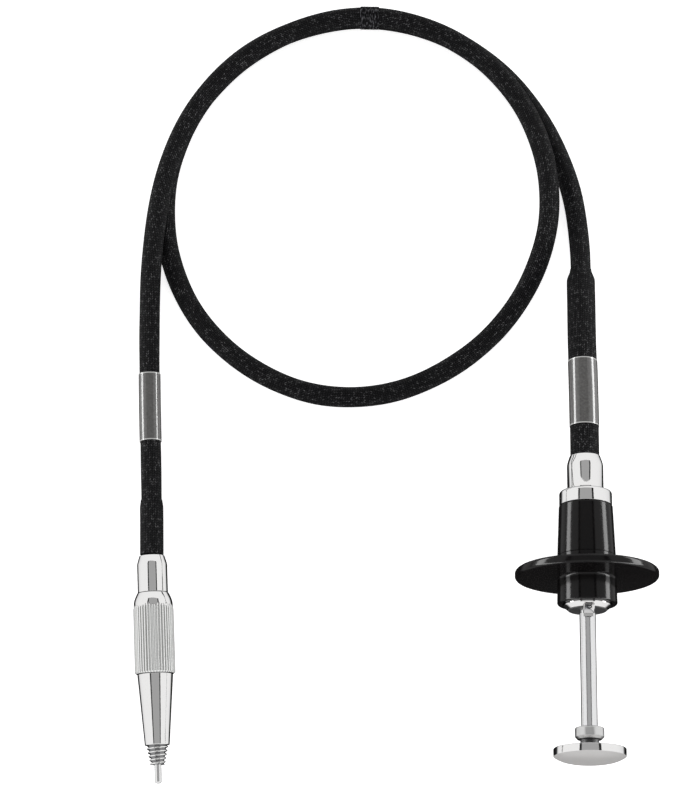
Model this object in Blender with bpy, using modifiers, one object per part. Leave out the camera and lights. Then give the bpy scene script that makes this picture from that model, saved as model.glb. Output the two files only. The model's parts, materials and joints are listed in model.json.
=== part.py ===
"""Cable shutter release, resting on a table.

The handle lies on the rim of its lock disc, and the tip lies flat. The braided cable runs from the handle round two
turns and ends at the tip. +X points right, +Y from the tip towards the loop, and +Z up. Numbers are millimetres
until a shape is built, and metres from then on. Pieces of the handle and of the tip are turned about their own
axes: `s` is the distance along such an axis and `r` the distance from it.
"""

import math

import bmesh
import bpy
from mathutils import Matrix, Vector

MM = 0.001
WELD = 1e-7
SEGMENTS = 36
SMALL_SEGMENTS = 24
DISC_SEGMENTS = 48
INNER_SEGMENTS = 18
FILLET_STEPS = 2
SHARP_ANGLE = math.radians(35)
FIT = 0.1  # clearance between two pieces that touch or slide

# Handle. Its axis runs towards the thumb button, and s = 0 is the middle of the lock disc.
HANDLE_ORIGIN = Vector((37.3, 7.72, 13.94))
HANDLE_TILT = math.radians(5.5)
HANDLE_YAW = math.radians(-0.55)
FERRULE_BACK, FERRULE_FRONT = -23.8, -16.75
FERRULE_R, FERRULE_MOUTH_R, FERRULE_FLARE_R, FERRULE_BORE_R = 3.55, 2.95, 3.7, 1.6
FERRULE_SHOULDER_LENGTH, FERRULE_FLARE_LENGTH = 1.6, 0.7
END_RING_BACK, END_RING_FRONT = -16.65, -13.8
END_RING_R = 5.15
BARREL_BACK, BARREL_FRONT = -13.7, -3.7
BARREL_BACK_R, BARREL_FRONT_R = 5.25, 5.66
TUBE_R, TUBE_BORE_R = 3.0, 2.65
TUBE_BACK = -21.9
TUBE_HEAD_BACK, TUBE_HEAD_EDGE, TUBE_HEAD_FRONT = 5.0, 6.3, 7.0
TUBE_HEAD_R, TUBE_HEAD_MOUTH_R, TUBE_HEAD_BORE_R, TUBE_HEAD_FLOOR = 4.65, 3.85, 3.7, 5.4
BUSH_BACK, BUSH_FLANGE_BACK, BUSH_FRONT = 0.2, 5.5, 7.15
# Height over the axis, then station, of the middle of the clip's leaf
CLIP_PATH = (Vector((4.45, 6.8)), Vector((3.3, 7.55)), Vector((1.95, 8.0)), Vector((1.84, 8.6)))
CLIP_WIDTH, CLIP_THICKNESS, CLIP_RIVET_R, CLIP_RIVET_LENGTH = 2.1, 0.2, 0.48, 0.28
ANCHOR_BACK, ANCHOR_FLANGE_BACK, ANCHOR_STOP, ANCHOR_FRONT, ANCHOR_R = -23.6, -21.9, -21.4, -21.2, 1.45
CASING_R, CASING_BORE_R = 1.15, 0.55
CASING_SEAT_R = 1.25
BALL_R, BALL_CIRCLE_R, BALL_S = 0.8, 2.45, 1.5
BALL_COUNT = 3

# Lock disc, with a collar behind it and a hub in front
DISC_R, DISC_THICKNESS, DISC_ROUNDING = 13.95, 1.7, 0.4
COLLAR_BACK, HUB_FRONT = -3.6, 5.95
COLLAR_R, HUB_R, ROOT_FILLET = 5.7, 5.82, 0.5
HUB_POCKET_BACK, HUB_POCKET_R = 2.9, 4.8
BALL_CONE_BACK, BALL_CONE_BACK_R, BALL_CONE_FRONT_R = -0.6, 3.22, 3.5
RING_GROOVE_BACK, RING_GROOVE_FRONT, RING_GROOVE_R = -3.1, -2.3, 3.75
RING_WIRE_R, RING_SPLIT = 0.25, math.radians(24)

# Plunger
ROD_BACK, ROD_FRONT, ROD_R = -6.5, 34.6, 1.57
ROD_SOCKET_R, ROD_SOCKET_FRONT = 0.8, -2.0
COLLAR_PIN_S, COLLAR_PIN_R = -0.8, 0.3
WIRE_R = 0.45
WIRE_ANCHOR_BACK, WIRE_ANCHOR_STOP, WIRE_ANCHOR_FRONT = -6.4, -3.0, -2.7
SPRING_COLLAR_BACK, SPRING_COLLAR_FRONT, SPRING_COLLAR_R = -1.4, -0.2, 2.5
BUTTON_COLLAR_BACK, BUTTON_COLLAR_FRONT, BUTTON_COLLAR_R = 29.9, 32.2, 2.8
WASHER_R = 2.05
BUTTON_BACK, BUTTON_EDGE, BUTTON_R, BUTTON_DOME = 33.96, 35.45, 6.95, 1.2
SPRING_WIRE_R, SPRING_R, SPRING_TURNS = 0.2, 2.2, 9
SPRING_POINTS_PER_TURN = 10

# Tip. Its axis runs towards the release pin, and s = 0 is the front of its ferrule.
TIP_ORIGIN = Vector((-47.40, 5.62, 3.95))
TIP_YAW = math.radians(2.5)
TIP_SHOULDER_LENGTH = 1.6  # both of the ferrule and of the knurled sleeve
TIP_FERRULE_BACK, TIP_FERRULE_R, TIP_FERRULE_MOUTH_R = -7.3, 2.97, 2.4
TIP_CASING_BACK, TIP_CASING_FRONT = -7.0, -3.2
STEM_BACK, STEM_HEAD_BACK, STEM_HEAD_FRONT = -3.0, 4.4, 5.6
STEM_R, STEM_HEAD_R, STEM_BORE_R = 1.9, 2.6, 0.75
SLEEVE_BACK, KNURL_BACK, SLEEVE_FRONT = 0.1, 2.9, 16.0
SLEEVE_BACK_R, SLEEVE_SHOULDER_R, KNURL_R = 3.1, 3.85, 3.95
SLEEVE_BORE_R = 2.9
CHAMBER_BACK = 4.0
KNURL_GROOVES, KNURL_DEPTH, KNURL_RUN_OUT, KNURL_CHAMFER = 40, 0.16, 0.35, 0.1
KNURL_CUTTER_R = 5.2
NOSE_SPIGOT_BACK, NOSE_BACK, NOSE_FRONT = 12.0, 16.1, 29.95
NOSE_BACK_R, NOSE_FRONT_R, NOSE_BORE_R = 3.5, 2.42, 1.15
NIPPLE_SPIGOT_BACK, NIPPLE_BACK, NIPPLE_FRONT = 28.3, 30.05, 33.7
NIPPLE_SPIGOT_R, NIPPLE_BACK_R, NIPPLE_FRONT_R, NIPPLE_BORE_R = 1.3, 2.15, 1.45, 0.78
THREAD_PITCH, THREAD_DEPTH, THREAD_TURNS = 0.73, 0.3, 5
CREST_START, CREST_END = 0.4, 0.6  # shares of the pitch
PIN_BACK, PIN_FRONT, PIN_R = 15.0, 37.35, 0.68
CRIMP_BACK, CRIMP_STOP, CRIMP_R = 13.5, 14.7, 0.95

# Cable, and what is on it. Distances are along the cable from the handle.
CABLE_R = 2.05
STRAIN_SLEEVE_END, STRAIN_SLEEVE_R = 39.5, 2.82
HANDLE_LABEL = (5.9, 19.5)
TIP_LABEL_FROM_TIP = (37.0, 23.0)
LABEL_WALL = 0.15
TIP_SLEEVE_LENGTH, TIP_SLEEVE_R = 11.0, 2.33
TIE_ON_LOWER, TIE_ON_UPPER = 117.0, 364.0  # where the two tied strands lie one above the other
TIE_WIDTH, TIE_WALL = 3.8, 0.2
CABLE_SPACING = 6.0
SLEEVE_SPACING = 3.0
CABLE_SIDES = 12
SLEEVE_SIDES = 14
ROUTE = (
    (37.53, 31.71, 11.63), (37.60, 38.4, 10.98), (37.63, 46.1, 10.14), (37.65, 56.0, 8.4), (37.85, 65.9, 6.2),
    (37.9, 76.9, 3.9), (36.4, 88.7, 2.5), (31.4, 101.8, 2.1), (23.2, 113.0, 2.1), (10.4, 122.0, 2.1),
    (-4.0, 125.3, 2.6), (-18.9, 123.2, 2.1), (-31.9, 115.9, 2.1), (-41.2, 104.2, 2.1), (-45.9, 90.0, 2.1),
    (-45.2, 75.2, 2.1), (-39.2, 61.7, 2.1), (-28.1, 51.3, 2.1), (-15.0, 46.0, 2.1), (-1.3, 46.2, 2.1),
    (11.4, 51.4, 2.12), (22.1, 60.5, 2.2), (28.5, 70.6, 3.05), (31.7, 81.9, 4.6), (31.2, 92.8, 5.9),
    (27.2, 104.2, 6.4), (19.2, 114.5, 6.4), (8.3, 121.4, 6.5), (-4.2, 124.1, 6.95), (-17.9, 122.0, 6.5),
    (-30.3, 115.3, 6.4), (-39.7, 105.1, 6.4), (-45.3, 92.6, 6.5), (-47.6, 81.9, 6.2), (-48.7, 71.9, 4.4),
    (-49.0, 60.9, 2.6), (-48.78, 46.9, 2.35), (-48.2, 31.0, 3.15), (-47.86, 20.1, 3.78), (-47.73, 13.213, 3.95),
)

# Name, then base colour, roughness and metallic
MATERIALS = {
    "chrome": ((0.86, 0.87, 0.88), 0.08, 1.0),
    "steel": ((0.62, 0.62, 0.63), 0.22, 1.0),
    "brass": ((0.78, 0.58, 0.25), 0.3, 1.0),
    "black_gloss_plastic": ((0.012, 0.012, 0.013), 0.12, 0.0),
    "black_nylon": ((0.02, 0.02, 0.021), 0.5, 0.0),
    "black_braid": ((0.016, 0.016, 0.018), 0.75, 0.0),
    "grey_label": ((0.12, 0.12, 0.125), 0.12, 0.0),
    "black_thread": ((0.02, 0.02, 0.022), 0.8, 0.0),
}


# Scene


def clear_scene():
    for obj in list(bpy.data.objects):
        bpy.data.objects.remove(obj)


def add_collection(name):
    collection = bpy.data.collections.new(name)
    bpy.context.scene.collection.children.link(collection)
    return collection


def add_materials():
    for name, (colour, roughness, metallic) in MATERIALS.items():
        material = bpy.data.materials.new(name)
        material.use_nodes = True
        shader = material.node_tree.nodes["Principled BSDF"]
        shader.inputs["Base Color"].default_value = (*colour, 1)
        shader.inputs["Roughness"].default_value = roughness
        shader.inputs["Metallic"].default_value = metallic


def add_axis(name, origin, direction):
    """An empty whose +Z is the axis of the pieces under it and whose +Y is as near to up as it can be."""
    along = direction.normalized()
    side = Vector((0, 0, 1)).cross(along).normalized()
    up = along.cross(side)
    turn = Matrix((side, up, along)).transposed().to_4x4()
    axis = bpy.data.objects.new(name, None)
    axis.matrix_world = Matrix.Translation(origin * MM) @ turn
    axis.empty_display_size = 5 * MM
    bpy.data.collections["cable_release"].objects.link(axis)
    return axis


def add_piece(name, data, material, axis=None):
    data.materials.clear()
    data.materials.append(bpy.data.materials[material])
    piece = bpy.data.objects.new(name, data)
    piece.parent = axis
    bpy.data.collections["cable_release"].objects.link(piece)
    return piece


def add_cutter(name, mesh, axis):
    cutter = bpy.data.objects.new(name, mesh)
    cutter.parent = axis
    cutter.hide_render = True
    cutter.display_type = "WIRE"
    bpy.data.collections["cutters"].objects.link(cutter)
    return cutter


def cut(piece, cutter):
    boolean = piece.modifiers.new(cutter.name, "BOOLEAN")
    boolean.operation = "DIFFERENCE"
    boolean.solver = "EXACT"
    boolean.object = cutter


# Shapes


def baked(source):
    """The mesh that an object's curve or modifiers make, facing outwards. The object itself is removed."""
    bpy.context.scene.collection.objects.link(source)
    graph = bpy.context.evaluated_depsgraph_get()
    mesh = bpy.data.meshes.new_from_object(source.evaluated_get(graph))
    bpy.data.objects.remove(source)
    shape = bmesh.new()
    shape.from_mesh(mesh)
    bmesh.ops.remove_doubles(shape, verts=shape.verts, dist=WELD)
    bmesh.ops.recalc_face_normals(shape, faces=shape.faces)
    shape.to_mesh(mesh)
    shape.free()
    mesh.shade_smooth()
    mesh.set_sharp_from_angle(angle=SHARP_ANGLE)
    return mesh


def rounded(corners):
    """The outline through corners (r, s, fillet radius), with each fillet drawn as an arc."""
    outline = []
    for i, (r, s, fillet) in enumerate(corners):
        corner = Vector((r, s))
        if not fillet:
            outline.append(corner)
            continue
        before = (Vector(corners[i - 1][:2]) - corner).normalized()
        after = (Vector(corners[(i + 1) % len(corners)][:2]) - corner).normalized()
        half = before.angle(after) / 2
        centre = corner + (before + after).normalized() * fillet / math.sin(half)
        start = corner + before * fillet / math.tan(half) - centre
        end = corner + after * fillet / math.tan(half) - centre
        for step in range(FILLET_STEPS + 1):
            outline.append(centre + start.lerp(end, step / FILLET_STEPS).normalized() * fillet)
    return outline


def turned_mesh(name, corners, segments):
    """A shape turned about Z. Its outline closes on itself if it has a bore, and on the axis if not."""
    outline = rounded(corners)
    edges = [(i, i + 1) for i in range(len(outline) - 1)]
    if min(r for r, _ in outline) > 0:
        edges.append((len(outline) - 1, 0))
    profile = bpy.data.meshes.new(name)
    profile.from_pydata([(r * MM, 0, s * MM) for r, s in outline], edges, [])
    source = bpy.data.objects.new(name, profile)
    screw = source.modifiers.new("turn", "SCREW")
    screw.steps = segments
    screw.render_steps = segments
    screw.use_merge_vertices = True
    screw.merge_threshold = WELD
    return baked(source)


def turned(name, corners, material, axis, segments=SEGMENTS):
    return add_piece(name, turned_mesh(name, corners, segments), material, axis)


def tube_mesh(name, points, radius, sides, wall=None):
    """A round tube along points. It is solid if it has no wall thickness."""
    curve = bpy.data.curves.new(name, "CURVE")
    curve.dimensions = "3D"
    curve.twist_mode = "Z_UP"
    curve.bevel_depth = radius * MM
    curve.bevel_resolution = sides // 2 - 2
    curve.use_fill_caps = wall is None
    spline = curve.splines.new("POLY")
    spline.points.add(len(points) - 1)
    for target, point in zip(spline.points, points):
        target.co = (*(point * MM), 1)
    source = bpy.data.objects.new(name, curve)
    if wall is not None:
        solidify = source.modifiers.new("wall", "SOLIDIFY")
        solidify.thickness = wall * MM
        solidify.offset = -1
        solidify.use_even_offset = True
    return baked(source)


def flat_mesh(name, outlines, thickness):
    """A plate between outlines in the XY plane, with half its thickness on each side of the plane."""
    curve = bpy.data.curves.new(name, "CURVE")
    curve.dimensions = "2D"
    curve.fill_mode = "BOTH"
    curve.extrude = thickness * MM / 2
    for outline in outlines:
        spline = curve.splines.new("POLY")
        spline.points.add(len(outline) - 1)
        spline.use_cyclic_u = True
        for target, (x, y) in zip(spline.points, outline):
            target.co = (x * MM, y * MM, 0, 1)
    return baked(bpy.data.objects.new(name, curve))


def circle(radius, count, start=0.0):
    """Points round a circle in the XY plane."""
    angles = [start + math.tau * i / count for i in range(count)]
    return [Vector((radius * math.cos(angle), radius * math.sin(angle))) for angle in angles]


def capsule(first, second, radius, steps=12):
    """The outline round two circles of one radius."""
    across = (second - first).orthogonal().normalized() * radius
    outline = []
    for centre, start in ((first, across), (second, -across)):
        for step in range(steps + 1):
            outline.append(centre + Matrix.Rotation(math.pi * step / steps, 2) @ start)
    return outline


# Cable route


def smooth_route():
    """Points through ROUTE, close together, with each one's distance along the cable."""
    knots = [Vector(point) for point in ROUTE]
    spans = [(b - a).length for a, b in zip(knots, knots[1:])]
    slopes = [(b - a) / span for a, b, span in zip(knots, knots[1:], spans)]
    tangents = []
    for i in range(1, len(knots) - 1):
        mixed = slopes[i - 1] * spans[i] + slopes[i] * spans[i - 1]
        tangents.append(mixed / (spans[i - 1] + spans[i]))
    tangents.insert(0, slopes[0] * 1.5 - tangents[0] * 0.5)
    tangents.append(slopes[-1] * 1.5 - tangents[-1] * 0.5)
    points = [knots[0]]
    distances = [0.0]
    for i, span in enumerate(spans):
        steps = math.ceil(span)
        for step in range(1, steps + 1):
            t = step / steps
            point = (
                (2 * t**3 - 3 * t**2 + 1) * knots[i]
                + (t**3 - 2 * t**2 + t) * span * tangents[i]
                + (3 * t**2 - 2 * t**3) * knots[i + 1]
                + (t**3 - t**2) * span * tangents[i + 1]
            )
            distances.append(distances[-1] + (point - points[-1]).length)
            points.append(point)
    return points, distances


def point_at(route, distance):
    points, distances = route
    i = max(k for k in range(len(points) - 1) if distances[k] <= distance)
    share = (distance - distances[i]) / (distances[i + 1] - distances[i])
    return points[i].lerp(points[i + 1], share)


def stretch(route, start, end, spacing):
    """Evenly spaced points on the route between two distances along it."""
    count = max(2, round((end - start) / spacing))
    return [point_at(route, start + (end - start) * i / count) for i in range(count + 1)]


# Handle pieces


def add_handle_ferrule(axis):
    seat = TUBE_R + FIT
    corners = [
        (FERRULE_BORE_R, FERRULE_BACK, 0),
        (FERRULE_MOUTH_R, FERRULE_BACK, 0.3),
        (FERRULE_R, FERRULE_BACK + FERRULE_SHOULDER_LENGTH, 1.2),
        (FERRULE_R, FERRULE_FRONT - FERRULE_FLARE_LENGTH, 0),
        (FERRULE_FLARE_R, FERRULE_FRONT - FERRULE_FLARE_LENGTH / 2, 0),
        (FERRULE_FLARE_R, FERRULE_FRONT, 0),
        (seat, FERRULE_FRONT, 0),
        (seat, TUBE_BACK - FIT, 0),
        (FERRULE_BORE_R, TUBE_BACK - FIT, 0),
    ]
    turned("handle_ferrule", corners, "chrome", axis)


def add_sheath_anchor(axis):
    corners = [
        (CASING_SEAT_R, ANCHOR_BACK, 0),
        (ANCHOR_R, ANCHOR_BACK, 0),
        (ANCHOR_R, ANCHOR_FLANGE_BACK, 0),
        (TUBE_BORE_R - FIT, ANCHOR_FLANGE_BACK, 0),
        (TUBE_BORE_R - FIT, ANCHOR_FRONT, 0),
        (CASING_BORE_R + FIT, ANCHOR_FRONT, 0),
        (CASING_BORE_R + FIT, ANCHOR_STOP, 0),
        (CASING_SEAT_R, ANCHOR_STOP, 0),
    ]
    turned("sheath_anchor", corners, "brass", axis, INNER_SEGMENTS)


def add_casing_end(name, axis, back, front):
    corners = [(CASING_BORE_R, back, 0), (CASING_R, back, 0), (CASING_R, front, 0), (CASING_BORE_R, front, 0)]
    turned(name, corners, "steel", axis, INNER_SEGMENTS)


def add_barrel_end_ring(axis):
    bore = TUBE_R + FIT
    corners = [
        (bore, END_RING_BACK, 0),
        (END_RING_R, END_RING_BACK, 0.7),
        (END_RING_R, END_RING_FRONT, 0.3),
        (bore, END_RING_FRONT, 0),
    ]
    turned("barrel_end_ring", corners, "chrome", axis)


def add_barrel(axis):
    bore = TUBE_R + FIT
    corners = [
        (bore, BARREL_BACK, 0),
        (BARREL_BACK_R, BARREL_BACK, 0.3),
        (BARREL_FRONT_R, BARREL_FRONT, 0.15),
        (bore, BARREL_FRONT, 0),
    ]
    turned("barrel", corners, "black_gloss_plastic", axis)


def ball_hole_cutter(axis):
    """Radial cylinders, one through each ball, that don't meet on the axis."""
    shape = bmesh.new()
    near, far = ROD_R - 3 * FIT, TUBE_R + 5 * FIT
    for i in range(BALL_COUNT):
        turn = Matrix.Rotation(math.tau * i / BALL_COUNT, 4, "Z")
        lie = Matrix.Rotation(math.pi / 2, 4, "X")
        middle = Matrix.Translation(Vector((0, (near + far) / 2, BALL_S)) * MM)
        bmesh.ops.create_cone(
            shape,
            cap_ends=True,
            segments=16,
            radius1=(BALL_R + FIT) * MM,
            radius2=(BALL_R + FIT) * MM,
            depth=(far - near) * MM,
            matrix=turn @ middle @ lie,
        )
    bmesh.ops.recalc_face_normals(shape, faces=shape.faces)
    mesh = bpy.data.meshes.new("ball_holes")
    shape.to_mesh(mesh)
    shape.free()
    return add_cutter("ball_holes", mesh, axis)


def add_guide_tube(axis, ball_holes):
    """The tube that holds the handle together. Its bevelled head is a cup for the bush's flange."""
    corners = [
        (TUBE_BORE_R, TUBE_BACK, 0),
        (TUBE_R, TUBE_BACK, 0),
        (TUBE_R, TUBE_HEAD_BACK, 0),
        (TUBE_HEAD_R, TUBE_HEAD_BACK, 0),
        (TUBE_HEAD_R, TUBE_HEAD_EDGE, 0.1),
        (TUBE_HEAD_MOUTH_R, TUBE_HEAD_FRONT, 0),
        (TUBE_HEAD_BORE_R, TUBE_HEAD_FRONT, 0),
        (TUBE_HEAD_BORE_R, TUBE_HEAD_FLOOR, 0),
        (TUBE_BORE_R, TUBE_HEAD_FLOOR, 0),
    ]
    cut(turned("guide_tube", corners, "chrome", axis), ball_holes)


def add_guide_bush(axis, ball_holes):
    """The bush that the rod slides in. Its flange lies in the head of the tube."""
    bore = ROD_R + FIT
    radius = TUBE_BORE_R - FIT
    flange_r = TUBE_HEAD_BORE_R - FIT
    corners = [
        (bore, BUSH_BACK, 0),
        (radius, BUSH_BACK, 0),
        (radius, BUSH_FLANGE_BACK, 0),
        (flange_r, BUSH_FLANGE_BACK, 0),
        (flange_r, BUSH_FRONT, 0.2),
        (bore, BUSH_FRONT, 0),
    ]
    cut(turned("guide_bush", corners, "black_nylon", axis, SMALL_SEGMENTS), ball_holes)


def clip_rivet_place():
    """The middle of the clip's upper slope, with +Z square to its leaf."""
    high, low = CLIP_PATH[:2]
    middle = (high + low) / 2
    slope = math.atan2(high.x - low.x, low.y - high.y)
    place = Matrix.Translation(Vector((0, middle.x, middle.y)) * MM)
    return place @ Matrix.Rotation(slope - math.pi / 2, 4, "X")


def clip_rivet_cutter(axis):
    corners = [
        (0, 2 * CLIP_RIVET_LENGTH, 0),
        (CLIP_RIVET_R + FIT / 2, 2 * CLIP_RIVET_LENGTH, 0),
        (CLIP_RIVET_R + FIT / 2, -2 * CLIP_RIVET_LENGTH, 0),
        (0, -2 * CLIP_RIVET_LENGTH, 0),
    ]
    mesh = turned_mesh("clip_rivet_hole", corners, INNER_SEGMENTS)
    mesh.transform(clip_rivet_place())
    return add_cutter("clip_rivet_hole", mesh, axis)


def add_rod_clip(axis):
    """A bent leaf that runs from the head of the tube down to the rod and wipes along it."""
    outer = []
    inner = []
    for i, point in enumerate(CLIP_PATH):
        along = (CLIP_PATH[min(i + 1, len(CLIP_PATH) - 1)] - CLIP_PATH[max(i - 1, 0)]).normalized()
        across = along.orthogonal() * CLIP_THICKNESS / 2
        outer.append(point + across)
        inner.append(point - across)
    mesh = flat_mesh("rod_clip", [[*outer, *reversed(inner)]], CLIP_WIDTH)
    mesh.transform(Matrix(((0, 0, 1), (1, 0, 0), (0, 1, 0))).to_4x4())
    cut(add_piece("rod_clip", mesh, "chrome", axis), clip_rivet_cutter(axis))


def add_clip_rivet(axis):
    half = CLIP_RIVET_LENGTH / 2
    corners = [(0, half, 0), (CLIP_RIVET_R, half, 0.08), (CLIP_RIVET_R, -half, 0), (0, -half, 0)]
    mesh = turned_mesh("clip_rivet", corners, INNER_SEGMENTS)
    mesh.transform(clip_rivet_place())
    add_piece("clip_rivet", mesh, "steel", axis)


def add_lock_balls(axis):
    for i, place in enumerate(circle(BALL_CIRCLE_R, BALL_COUNT, math.pi / 2), start=1):
        shape = bmesh.new()
        centre = Matrix.Translation(Vector((place.x, place.y, BALL_S)) * MM)
        bmesh.ops.create_icosphere(shape, subdivisions=2, radius=BALL_R * MM, matrix=centre)
        mesh = bpy.data.meshes.new(f"lock_ball_{i}")
        shape.to_mesh(mesh)
        shape.free()
        mesh.shade_smooth()
        add_piece(f"lock_ball_{i}", mesh, "steel", axis)


# Lock disc


def add_lock_disc(axis):
    bore = TUBE_R + FIT
    half = DISC_THICKNESS / 2
    corners = [
        (bore, COLLAR_BACK, 0),
        (COLLAR_R, COLLAR_BACK, 0.15),
        (COLLAR_R, -half, ROOT_FILLET),
        (DISC_R, -half, DISC_ROUNDING),
        (DISC_R, half, DISC_ROUNDING),
        (COLLAR_R, half, ROOT_FILLET),
        (HUB_R, HUB_FRONT, 0.35),
        (HUB_POCKET_R, HUB_FRONT, 0),
        (HUB_POCKET_R, HUB_POCKET_BACK, 0),
        (BALL_CONE_FRONT_R, HUB_POCKET_BACK, 0),
        (BALL_CONE_BACK_R, BALL_CONE_BACK, 0),
        (bore, BALL_CONE_BACK - 1, 0),
        (bore, RING_GROOVE_FRONT, 0),
        (RING_GROOVE_R, RING_GROOVE_FRONT, 0),
        (RING_GROOVE_R, RING_GROOVE_BACK, 0),
        (bore, RING_GROOVE_BACK, 0),
    ]
    turned("lock_disc", corners, "black_gloss_plastic", axis, DISC_SEGMENTS)


def add_disc_friction_ring(axis):
    """A split ring of round wire in the groove of the disc's bore."""
    radius = (TUBE_R + RING_GROOVE_R) / 2
    middle = (RING_GROOVE_BACK + RING_GROOVE_FRONT) / 2
    steps = INNER_SEGMENTS
    points = []
    for step in range(steps + 1):
        angle = RING_SPLIT / 2 + (math.tau - RING_SPLIT) * step / steps
        points.append(Vector((radius * math.cos(angle), radius * math.sin(angle), middle)))
    mesh = tube_mesh("disc_friction_ring", points, RING_WIRE_R, 6)
    add_piece("disc_friction_ring", mesh, "steel", axis)


# Plunger pieces


def collar_pin_place():
    return Matrix.Translation(Vector((0, 0, COLLAR_PIN_S)) * MM) @ Matrix.Rotation(math.pi / 2, 4, "X")


def collar_pin_cutter(axis):
    shape = bmesh.new()
    bmesh.ops.create_cone(
        shape,
        cap_ends=True,
        segments=16,
        radius1=(COLLAR_PIN_R + FIT / 2) * MM,
        radius2=(COLLAR_PIN_R + FIT / 2) * MM,
        depth=4 * SPRING_COLLAR_R * MM,
        matrix=collar_pin_place(),
    )
    mesh = bpy.data.meshes.new("collar_pin_hole")
    shape.to_mesh(mesh)
    shape.free()
    return add_cutter("collar_pin_hole", mesh, axis)


def add_plunger_rod(axis, pin_hole):
    corners = [
        (0, ROD_SOCKET_FRONT, 0),
        (ROD_SOCKET_R, ROD_SOCKET_FRONT, 0),
        (ROD_SOCKET_R, ROD_BACK, 0),
        (ROD_R, ROD_BACK, 0.15),
        (ROD_R, ROD_FRONT, 0.2),
        (0, ROD_FRONT, 0),
    ]
    cut(turned("plunger_rod", corners, "steel", axis), pin_hole)


def rod_ring(name, back, front, radius, rounding, material, axis):
    """A ring that fits on the plunger rod."""
    bore = ROD_R + FIT
    corners = [(bore, back, 0), (radius, back, rounding), (radius, front, rounding), (bore, front, 0)]
    return turned(name, corners, material, axis)


def add_spring_collar(axis, pin_hole):
    collar = rod_ring(
        "spring_collar", SPRING_COLLAR_BACK, SPRING_COLLAR_FRONT, SPRING_COLLAR_R, 0.1, "brass", axis
    )
    cut(collar, pin_hole)


def add_collar_pin(axis):
    """The cross pin that holds the spring collar on the rod."""
    half = SPRING_COLLAR_R - FIT
    corners = [(0, half, 0), (COLLAR_PIN_R, half, 0.08), (COLLAR_PIN_R, -half, 0.08), (0, -half, 0)]
    mesh = turned_mesh("collar_pin", corners, INNER_SEGMENTS)
    mesh.transform(collar_pin_place())
    add_piece("collar_pin", mesh, "steel", axis)


def add_button_collar(axis):
    rod_ring("button_collar", BUTTON_COLLAR_BACK, BUTTON_COLLAR_FRONT, BUTTON_COLLAR_R, 0.5, "steel", axis)


def add_button_washer(axis):
    rod_ring("button_washer", BUTTON_COLLAR_FRONT + FIT, BUTTON_BACK - FIT, WASHER_R, 0.1, "black_nylon", axis)


def add_wire_anchor(axis):
    """The crimp on the inner wire, inside the rod's socket."""
    radius = ROD_SOCKET_R - FIT / 2
    bore = WIRE_R + FIT / 2
    corners = [
        (0, WIRE_ANCHOR_FRONT, 0),
        (radius, WIRE_ANCHOR_FRONT, 0),
        (radius, WIRE_ANCHOR_BACK, 0),
        (bore, WIRE_ANCHOR_BACK, 0),
        (bore, WIRE_ANCHOR_STOP, 0),
        (0, WIRE_ANCHOR_STOP, 0),
    ]
    turned("wire_anchor", corners, "brass", axis, INNER_SEGMENTS)


def add_thumb_button(axis):
    socket_r = ROD_R + FIT
    socket_front = ROD_FRONT + FIT
    dome = []
    for share in (0.0, 0.3, 0.5, 0.7, 0.85, 0.93):
        dome.append((BUTTON_R * share, BUTTON_EDGE + BUTTON_DOME * (1 - share**4), 0))
    corners = [
        *dome,
        (BUTTON_R, BUTTON_EDGE, 0.15),
        (BUTTON_R, BUTTON_BACK, 0.2),
        (socket_r, BUTTON_BACK, 0),
        (socket_r, socket_front, 0),
        (0, socket_front, 0),
    ]
    turned("thumb_button", corners, "steel", axis)


def add_return_spring(axis):
    back = ANCHOR_FRONT + SPRING_WIRE_R + FIT / 2
    front = SPRING_COLLAR_BACK - SPRING_WIRE_R - FIT / 2
    steps = SPRING_TURNS * SPRING_POINTS_PER_TURN
    points = []
    for step in range(steps + 1):
        angle = math.tau * step / SPRING_POINTS_PER_TURN
        s = back + (front - back) * step / steps
        points.append(Vector((SPRING_R * math.cos(angle), SPRING_R * math.sin(angle), s)))
    mesh = tube_mesh("return_spring", points, SPRING_WIRE_R, 6)
    add_piece("return_spring", mesh, "steel", axis)


def add_wire(name, axis, back, front):
    """A straight end of the inner wire."""
    mesh = tube_mesh(name, [Vector((0, 0, back)), Vector((0, 0, front))], WIRE_R, 12)
    add_piece(name, mesh, "steel", axis)


# Tip pieces


def add_tip_ferrule(axis):
    casing_bore = CASING_R + FIT
    stem_bore = STEM_R + FIT
    corners = [
        (casing_bore, TIP_FERRULE_BACK, 0),
        (TIP_FERRULE_MOUTH_R, TIP_FERRULE_BACK, 0.25),
        (TIP_FERRULE_R, TIP_FERRULE_BACK + TIP_SHOULDER_LENGTH, 2.0),
        (TIP_FERRULE_R, 0, 0.12),
        (stem_bore, 0, 0),
        (stem_bore, STEM_BACK - FIT, 0),
        (casing_bore, STEM_BACK - FIT, 0),
    ]
    turned("tip_ferrule", corners, "chrome", axis)


def add_swivel_stem(axis):
    corners = [
        (STEM_BORE_R, STEM_BACK, 0),
        (STEM_R, STEM_BACK, 0),
        (STEM_R, STEM_HEAD_BACK, 0),
        (STEM_HEAD_R, STEM_HEAD_BACK, 0),
        (STEM_HEAD_R, STEM_HEAD_FRONT, 0.2),
        (STEM_BORE_R, STEM_HEAD_FRONT, 0),
    ]
    turned("swivel_stem", corners, "steel", axis, INNER_SEGMENTS)


def add_swivel_washer(axis):
    back, front = CHAMBER_BACK + FIT / 2, STEM_HEAD_BACK - FIT / 2
    bore = STEM_R + FIT
    corners = [(bore, back, 0), (STEM_HEAD_R + FIT, back, 0), (STEM_HEAD_R + FIT, front, 0), (bore, front, 0)]
    turned("swivel_washer", corners, "black_nylon", axis, INNER_SEGMENTS)


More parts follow.
